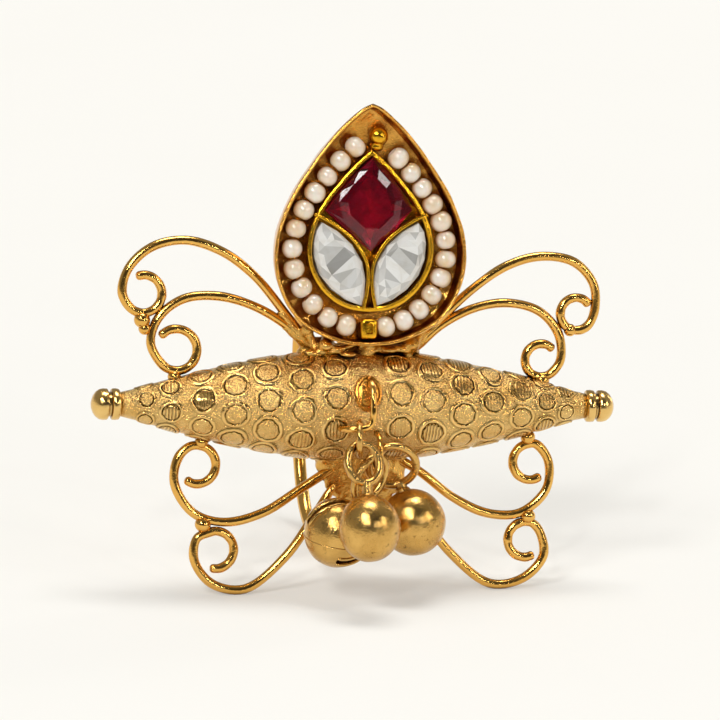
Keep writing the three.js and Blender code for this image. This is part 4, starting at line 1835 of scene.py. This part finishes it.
                # These corners stand over the middles of the sides before them
                ring = [(a + b) / 2 for a, b in zip(ring, ring[1:] + ring[:1])]
            rings.append(ring)
        piece = outline_face(stone.node, rings[0])
        drawn_out(piece, rings[1:])
        edit(piece)
        bpy.ops.mesh.select_all(action="SELECT")
        bpy.ops.mesh.quads_convert_to_tris(quad_method="SHORTEST_DIAGONAL")
        put_down()
        tidy_mesh(piece)
        # Painted reflections and shade on the stone's facets
        self.shade_flats(piece, stone, 0.5 if stone.node == "ruby" else -0.42)
        return piece

    def shade_flats(self, piece: bpy.types.Object, stone: Stone, middle: float) -> None:
        """Paints each facet's reflection and shade as a brightness from 0 to 1.

        Args:
            piece: The stone, or the foil behind it.
            stone: Where it sits.
            middle: How much brighter its middle is than its edge.
        """
        draw = random.Random(SEED + len(piece.name))
        flats = []
        for face in piece.data.polygons:
            x, z = face.center.x / MM - stone.x, face.center.z / MM - stone.z
            centre = max(0.0, 1 - math.hypot(x, z * 0.6) / 1.6)
            level = (0.62 if middle > 0 else 0.86) + middle * (centre - 0.2)
            # Painted shade: the ruby's upper facets darker
            level -= 0.06 * z if middle > 0 else 0.0
            flats.append(min(1.0, max(0.0, level + draw.uniform(-0.36, 0.34))))
        piece.data.attributes.new("flat", "FLOAT", "FACE").data.foreach_set("value", flats)

    def pocket_foils(self) -> list[tuple[bpy.types.Object, str, Finish, str]]:
        """The foils under the stones: each fills the collet behind one of them.

        Returns:
            Each foil with its name, its finish and its slot.
        """
        made = []
        for stone, finish in zip(self.stones, (RED_FOIL, SILVER_FOIL, SILVER_FOIL)):
            grown = 1.03
            steps = [(grown, -2.66), (0.98, -2.62), (0.66, -2.12), (0.34, -1.88), (0.08, -1.8)]
            rings = [self.placed(stone, scale, y) for scale, y in steps]
            for k in (2, 4):
                rings[k] = [(a + b) / 2 for a, b in zip(rings[k], rings[k][1:] + rings[k][:1])]
            piece = outline_face("foil", self.placed(stone, grown, self.floor + 0.06))
            drawn_out(piece, rings)
            edit(piece)
            bpy.ops.mesh.select_all(action="SELECT")
            bpy.ops.mesh.quads_convert_to_tris(quad_method="SHORTEST_DIAGONAL")
            put_down()
            tidy_mesh(piece)
            # Painted reflections and shade on the foil's flats
            self.shade_flats(piece, stone, 0.6 if stone.node == "ruby" else -0.5)
            made.append((piece, "foil_" + stone.node, finish, stone.slot))
        return made

    def pearl(self, centre: Vector, along: Vector, draw: random.Random) -> bpy.types.Object:
        """A drilled pearl, a little flattened, turned on its string.

        Args:
            centre: Its middle, in millimetres.
            along: The string's direction.
            draw: Where its form comes from.

        Returns:
            The pearl.
        """
        put_down()
        radius = self.pearl_radius * draw.uniform(0.97, 1.03)
        bpy.ops.mesh.primitive_uv_sphere_add(segments=24, ring_count=16, radius=radius * MM)
        piece = bpy.context.object
        pole = radius * math.cos(math.pi / 16) * 0.9 * MM
        edit(piece)
        pick_faces(piece, lambda middle, normal: abs(middle.z) > pole)
        bpy.ops.mesh.inset(thickness=0.03 * MM, depth=0)
        bpy.ops.transform.resize(value=(1, 1, 0.8), center_override=(0, 0, 0))
        bpy.ops.mesh.select_all(action="SELECT")
        squash = (draw.uniform(0.97, 1.04), draw.uniform(0.97, 1.03), draw.uniform(0.9, 0.97))
        bpy.ops.transform.resize(value=squash, center_override=(0, 0, 0))
        put_down()
        add_modifier(piece, "SUBSURF", levels=1, render_levels=1)
        dent(piece, 1.1, 0.05)
        piece.matrix_world = Matrix.Translation(centre * MM) @ along.to_track_quat("Z", "Y").to_matrix().to_4x4()
        return piece

    def pearls(self) -> None:
        """Makes both runs of pearls along the channel."""
        draw = random.Random(SEED + 5)
        depth = self.floor - self.pearl_radius - 0.12
        for name, side, first, last in self.runs:
            path = [Vector((side * x, depth, z)) for x, z in self.pearl_path]
            for i in range(self.pearls_a_side):
                run = first + (last - first) * i / (self.pearls_a_side - 1)
                k = 0
                while k < len(path) - 2 and run > (path[k + 1] - path[k]).length:
                    run -= (path[k + 1] - path[k]).length
                    k += 1
                along = (path[k + 1] - path[k]).normalized()
                run = min(run, (path[k + 1] - path[k]).length)
                piece = self.pearl(path[k] + along * run, along, draw)
                node = f"pearl_{name}_{i + 1:02d}"
                self.deliver(piece, f"bead_{name}_{i + 1:02d}", PEARL, "pearl", [node], 60)

    def foot_bead(self) -> bpy.types.Object:
        """The squared bead at the channel's foot: a block with its front sunk."""
        put_down()
        bpy.ops.mesh.primitive_cube_add(size=MM, location=(0, -2.35 * MM, 6.3 * MM))
        piece = bpy.context.object
        edit(piece)
        bpy.ops.mesh.select_all(action="SELECT")
        bpy.ops.transform.resize(value=(1.4, 1.75, 1.68), center_override=(0, -2.35 * MM, 6.3 * MM))
        bpy.ops.mesh.bevel(offset=0.34 * MM, segments=4, affect="EDGES")
        pick_faces(piece, lambda middle, normal: normal.y < -0.99)
        bpy.ops.mesh.inset(thickness=0.1 * MM, depth=0)
        bpy.ops.mesh.extrude_region_move(TRANSFORM_OT_translate={"value": (0, 0.16 * MM, 0)})
        bpy.ops.transform.resize(value=(0.8, 1, 0.8), center_override=(0, -3.1 * MM, 6.3 * MM))
        put_down()
        take(piece)
        bpy.ops.object.transform_apply(location=True, rotation=True, scale=True)
        dent(piece, 0.7, 0.05)
        return piece

    def build(self) -> None:
        """Makes the setting from its cup to its stones."""
        metal = [METALWORK]
        self.deliver(self.cup(), "setting_cup", CUP_GOLD, GOLD_SLOT, metal, 35)
        collet = joined("collet", self.collet(), self.divider(1), self.divider(-1))
        self.deliver(collet, "stone_collet", COLLET_GOLD, GOLD_SLOT, metal, 40)
        self.deliver(self.foot_bead(), "foot_bead", COLLET_GOLD, GOLD_SLOT, metal, 60)
        ball = joined(
            "ball", lump(Vector((0.65, -2.3, 21.65)), 0.78), lump(Vector((0.5, -2.2, 20.8)), 0.5, (1.2, 1, 0.8))
        )
        melt(ball, 0.1, 2)
        self.deliver(ball, "top_ball", COLLET_GOLD, GOLD_SLOT, metal, 60)
        for stone in self.stones:
            name = "cut_" + stone.node
            self.deliver(self.cut_stone(stone), name, stone.finish, stone.slot, [stone.node], None)
        for piece, name, finish, slot in self.pocket_foils():
            self.deliver(piece, name, finish, slot, [], None)
        self.pearls()


# ---------------------------------------------------------------- bells


class Seam(Enum):
    """Whether a bell shows the joint of its two halves."""

    HIDDEN = 0
    RAISED = 1


@dataclass(frozen=True)
class Slit:
    """A slit in a bell, off the bell's middle along away and wide along side."""

    away: tuple[float, float, float]
    side: tuple[float, float, float]
    half_deg: float
    width: float
    lip: bool = False


@dataclass(frozen=True)
class BellForm:
    """A bell's place, size, loop and slits."""

    node: str
    centre: tuple[float, float, float]
    radius: float
    tall: float
    loop_centre: tuple[float, float, float]
    loop_across: tuple[float, float, float]
    loop_up: tuple[float, float, float]
    loop_half: tuple[float, float]
    slits: tuple[Slit, ...]
    seam: Seam = Seam.HIDDEN


@dataclass
class Bells:
    """The three small bells."""

    shop: Workshop
    wall: float = 0.35
    loop_radius: float = 0.33
    forms: tuple[BellForm, ...] = (
        BellForm(
            "bell_front",
            (-0.4, -8.03, -9.15),
            2.46,
            2.66,
            (-0.6, -6.8, -4.08),
            (1, 0.15, 0),
            (-0.1, 0.29, 1),
            (1.33, 1.6),
            (Slit((0.1, 0.75, -1), (1, 0, 0), 58, 0.4),),
        ),
        BellForm(
            "bell_left",
            (-1.95, -3.15, -9.93),
            2.72,
            2.76,
            (0.4, -4.45, -5.52),
            (0.9, 0.44, 0),
            (0.53, 0.03, 1),
            (1.3, 1.9),
            (
                Slit((0.5, -0.5, -0.71), (0.85, -0.2, -0.3), 40, 0.74, True),
                Slit((-0.5, -0.34, 0.8), (0.83, -0.14, 0.5), 40, 0.66, True),
            ),
            Seam.RAISED,
        ),
        BellForm(
            "bell_right",
            (4.15, -3.3, -9.2),
            2.6,
            2.65,
            (2.4, -3.4, -4.6),
            (0.88, 0.12, -0.46),
            (-0.12, -0.58, 1),
            (1.93, 1.9),
            (Slit((0.5, 0.8, -1), (1, 0, 0.5), 60, 0.4),),
        ),
    )

    def slit_axes(self, slit: Slit) -> tuple[Vector, Vector, Vector]:
        """The slit's way out, its length's way and its width's way."""
        away = Vector(slit.away).normalized()
        side = Vector(slit.side)
        side = (side - away * side.dot(away)).normalized()
        return away, side, away.cross(side)

    def slit_tool(self, form: BellForm, slit: Slit) -> bpy.types.Object:
        """A flat block that cuts a slit.

        Args:
            form: The bell.
            slit: The slit.

        Returns:
            The block, in place.
        """
        away, side, across = self.slit_axes(slit)
        put_down()
        bpy.ops.mesh.primitive_cube_add(size=1)
        tool = bpy.context.object
        half = form.radius * math.sin(math.radians(slit.half_deg))
        size = Matrix.Diagonal((2 * half * MM, slit.width * MM, form.radius * 1.2 * MM, 1))
        axes = Matrix((side, across, away)).transposed().to_4x4()
        middle = Vector(form.centre) + away * (form.radius * 0.85)
        tool.matrix_world = Matrix.Translation(middle * MM) @ axes @ size
        take(tool)
        bpy.ops.object.transform_apply(location=True, rotation=True, scale=True)
        add_modifier(tool, "BEVEL", width=slit.width * 0.4 * MM, segments=3, limit_method="NONE")
        return tool

    def lips(self, form: BellForm, slit: Slit) -> list[bpy.types.Object]:
        """The turned-out edges of a slit, as thin wires on the bell's wall."""
        away, side, across = self.slit_axes(slit)
        made = []
        for edge in (-1, 1):
            points = []
            for k in range(25):
                angle = math.radians(slit.half_deg * 0.96) * (k / 12 - 1)
                lift = edge * (slit.width / 2 + 0.07)
                reach = math.sqrt(form.radius**2 - lift**2) + 0.02
                way = away * math.cos(angle) + side * math.sin(angle)
                points.append(Vector(form.centre) + way * reach + across * lift)
            made.append(wire("lip", points, 0.15, sides=8))
        return made

    def shell(self, form: BellForm) -> bpy.types.Object:
        """The bell's hollow body with its slits."""
        put_down()
        bpy.ops.mesh.primitive_uv_sphere_add(segments=64, ring_count=40, radius=form.radius * MM)
        piece = bpy.context.object
        edit(piece)
        bpy.ops.mesh.select_all(action="SELECT")
        bpy.ops.transform.resize(value=(1, 1, form.tall / form.radius), center_override=(0, 0, 0))
        put_down()
        dent(piece, 2.6, 0.16)
        add_modifier(piece, "SOLIDIFY", thickness=self.wall * MM, offset=-1)
        piece.location = Vector(form.centre) * MM
        take(piece)
        bpy.ops.object.transform_apply(location=True, rotation=True, scale=True)
        for slit in form.slits:
            cut(piece, self.slit_tool(form, slit))
        return piece

    def parts(self, form: BellForm) -> list[bpy.types.Object]:
        """A bell's loop, neck, lips and seam."""
        up = Vector(form.loop_up).normalized()
        across = Vector(form.loop_across)
        across = (across - up * across.dot(up)).normalized()
        middle = Vector(form.loop_centre)
        ring = oval(middle, across, up, *form.loop_half, 64)
        made = [wire("loop", ring, self.loop_radius, closed=True, sides=18, uneven=0.03)]
        centre = Vector(form.centre)
        nearest = min(ring, key=lambda p: (p - centre).length)
        away = (nearest - centre).normalized()
        foot = centre + away * (form.radius - 0.25)
        collar = centre + away * (form.radius + 0.02)
        made.append(wire("neck", [foot, (foot + nearest) / 2, nearest], 0.42, sides=16, blunt=False))
        made.append(lump(collar, 0.62, (1, 1, 0.7)))
        for slit in form.slits:
            if slit.lip:
                made.extend(self.lips(form, slit))
        if form.seam is Seam.RAISED:
            tilt = Vector((0.12, -0.25, 1)).normalized()
            east = tilt.orthogonal().normalized()
            north = tilt.cross(east)
            low = centre - tilt * 0.5
            reach = math.sqrt(form.radius**2 - 0.25) - 0.03
            made.append(wire("seam", oval(low, east, north, reach, reach, 72), 0.08, closed=True, sides=8))
        return made

    def build(self) -> None:
        """Makes the bells one by one."""
        for form in self.forms:
            piece = joined(form.node, self.shell(form), *self.parts(form))
            name = form.node.replace("bell_", "") + "_bell"
            self.shop.deliver(piece, name, BELL_GOLD, "bell_gold", [form.node], 45)


# ---------------------------------------------------------------- studio


@dataclass(frozen=True)
class Softbox:
    """A soft studio lamp: where it stands, its sides, how bright its face is and its colour."""

    name: str
    place: tuple[float, float, float]
    width: float
    height: float
    radiance: float
    colour: str = "#FFFFFF"

    def watts(self) -> float:
        """The power that gives its face that radiance."""
        return math.pi * self.width * self.height * self.radiance


@dataclass
class Studio:
    """The pale floor, the softboxes and the room's own light."""

    floor_side: float = 6.0
    floor_colour: str = "#C8C7C3"
    lamps: tuple[Softbox, ...] = (
        Softbox("key_softbox", (-0.75, -0.85, 1.1), 0.34, 0.34, 20.0),
        Softbox("key_spark", (-0.5, -1.15, 0.75), 0.08, 0.13, 110.0),
        Softbox("fill_softbox", (1.1, -0.8, 0.55), 0.14, 0.6, 10.0, "#FFFAF2"),
        Softbox("fill_spark", (0.55, -1.25, 0.5), 0.07, 0.12, 60.0),
        Softbox("top_softbox", (0.1, 0.2, 1.35), 0.7, 0.4, 11.0),
        Softbox("rim_strip", (1.1, 0.7, 0.5), 0.12, 0.8, 6.0, "#FFF8EE"),
    )

    def floor(self) -> None:
        """Adds the floor, a wide slab with its top on the surface that the ring lies on."""
        put_down()
        bpy.ops.mesh.primitive_plane_add(size=self.floor_side)
        piece = bpy.context.object
        piece.name = "studio_floor"
        material, tree = blank_material("matte_paper")
        place = add_node(tree, "ShaderNodeTexCoord").outputs["Object"]
        fibres = add_node(
            tree, "ShaderNodeTexNoise", values={"Scale": 40.0, "Detail": 2.0}, links={"Vector": place}
        )
        colour = add_node(
            tree,
            "ShaderNodeMix",
            RGBA,
            {MIX_A: linear(self.floor_colour), MIX_B: linear("#C6C5C0")},
            {MIX_SHARE: fibres.outputs["Fac"]},
        )
        # Painted light: the floor glows, least round the ring so that its shadows stay
        away = add_node(
            tree, "ShaderNodeVectorMath", {"operation": "LENGTH"}, links={"Vector": place}
        )
        glow = add_node(
            tree,
            "ShaderNodeMapRange",
            values={"From Min": 0.03, "From Max": 0.6, "To Min": 0.34, "To Max": 0.46},
            links={"Value": away.outputs["Value"]},
        )
        # Painted shade: the floor's glow fades towards the camera
        depth = add_node(tree, "ShaderNodeSeparateXYZ", links={"Vector": place})
        lit = add_node(
            tree,
            "ShaderNodeMapRange",
            values={"From Min": -0.12, "From Max": -0.4, "To Min": 1.0, "To Max": 0.1},
            links={"Value": depth.outputs["Y"]},
        )
        glow = add_node(
            tree,
            "ShaderNodeMath",
            {"operation": "MULTIPLY"},
            links={0: glow.outputs["Result"], 1: lit.outputs["Result"]},
        )
        shader = add_node(
            tree,
            "ShaderNodeBsdfPrincipled",
            values={"Roughness": 0.9, "Specular IOR Level": 0.1, "Emission Color": linear("#FFFDF8")},
            links={"Base Color": colour.outputs[MIX_OUT], "Emission Strength": glow.outputs["Value"]},
        )
        add_node(tree, "ShaderNodeOutputMaterial", links={"Surface": shader.outputs["BSDF"]})
        piece.data.materials.append(material)

    def room(self) -> None:
        """Sets the room's light: pale at the horizon, dimmer overhead."""
        world = bpy.data.worlds.new("studio_room")
        bpy.context.scene.world = world
        world.use_nodes = True
        tree = world.node_tree
        tree.nodes.clear()
        way = add_node(tree, "ShaderNodeTexCoord").outputs["Generated"]
        parts = add_node(tree, "ShaderNodeSeparateXYZ", links={"Vector": way})
        height = add_node(
            tree,
            "ShaderNodeMapRange",
            values={"From Min": 0.03, "From Max": 0.16, "To Min": 0.93, "To Max": 0.3},
            links={"Value": parts.outputs["Z"]},
        )
        # The room is darkest behind the camera, where nothing lights it
        front = add_node(
            tree,
            "ShaderNodeMapRange",
            values={"From Min": -0.1, "From Max": -0.7, "To Min": 1.0, "To Max": 0.16},
            links={"Value": parts.outputs["Y"]},
        )
        strength = add_node(
            tree,
            "ShaderNodeMath",
            {"operation": "MULTIPLY"},
            links={0: height.outputs["Result"], 1: front.outputs["Result"]},
        )
        light = add_node(
            tree,
            "ShaderNodeBackground",
            values={"Color": linear("#FFFCF6")},
            links={"Strength": strength.outputs["Value"]},
        )
        add_node(tree, "ShaderNodeOutputWorld", links={"Surface": light.outputs["Background"]})

    def build(self) -> None:
        """Adds the floor, the lamps and the room's light."""
        self.floor()
        self.room()
        for box in self.lamps:
            put_down()
            bpy.ops.object.light_add(type="AREA", location=box.place)
            lamp = bpy.context.object
            lamp.name = box.name
            lamp.data.shape = "RECTANGLE"
            lamp.data.size, lamp.data.size_y = box.width, box.height
            lamp.data.energy = box.watts()
            lamp.data.color = linear(box.colour)[:3]
            towards = Vector((0, 0, 0.02)) - Vector(box.place)
            lamp.rotation_euler = towards.to_track_quat("-Z", "Y").to_euler()
        settings = bpy.context.scene.view_settings
        settings.view_transform = "Standard"
        settings.look = "None"
        settings.exposure = 0.0


def main() -> None:
    """Builds the ring and its studio in order."""
    logging.basicConfig(level=logging.INFO, format="%(message)s")
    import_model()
    put_down()
    lie = Lie()
    PhotoCamera(lie).build()
    shop = Workshop(lie)
    AmuletTube(shop).build()
    Wings(shop).build()
    Shank(shop).build()
    Solder(shop).build()
    Hangers(shop).build()
    Setting(shop).build()
    Bells(shop).build()
    Studio().build()
    put_down()


if __name__ == "__main__":
    main()
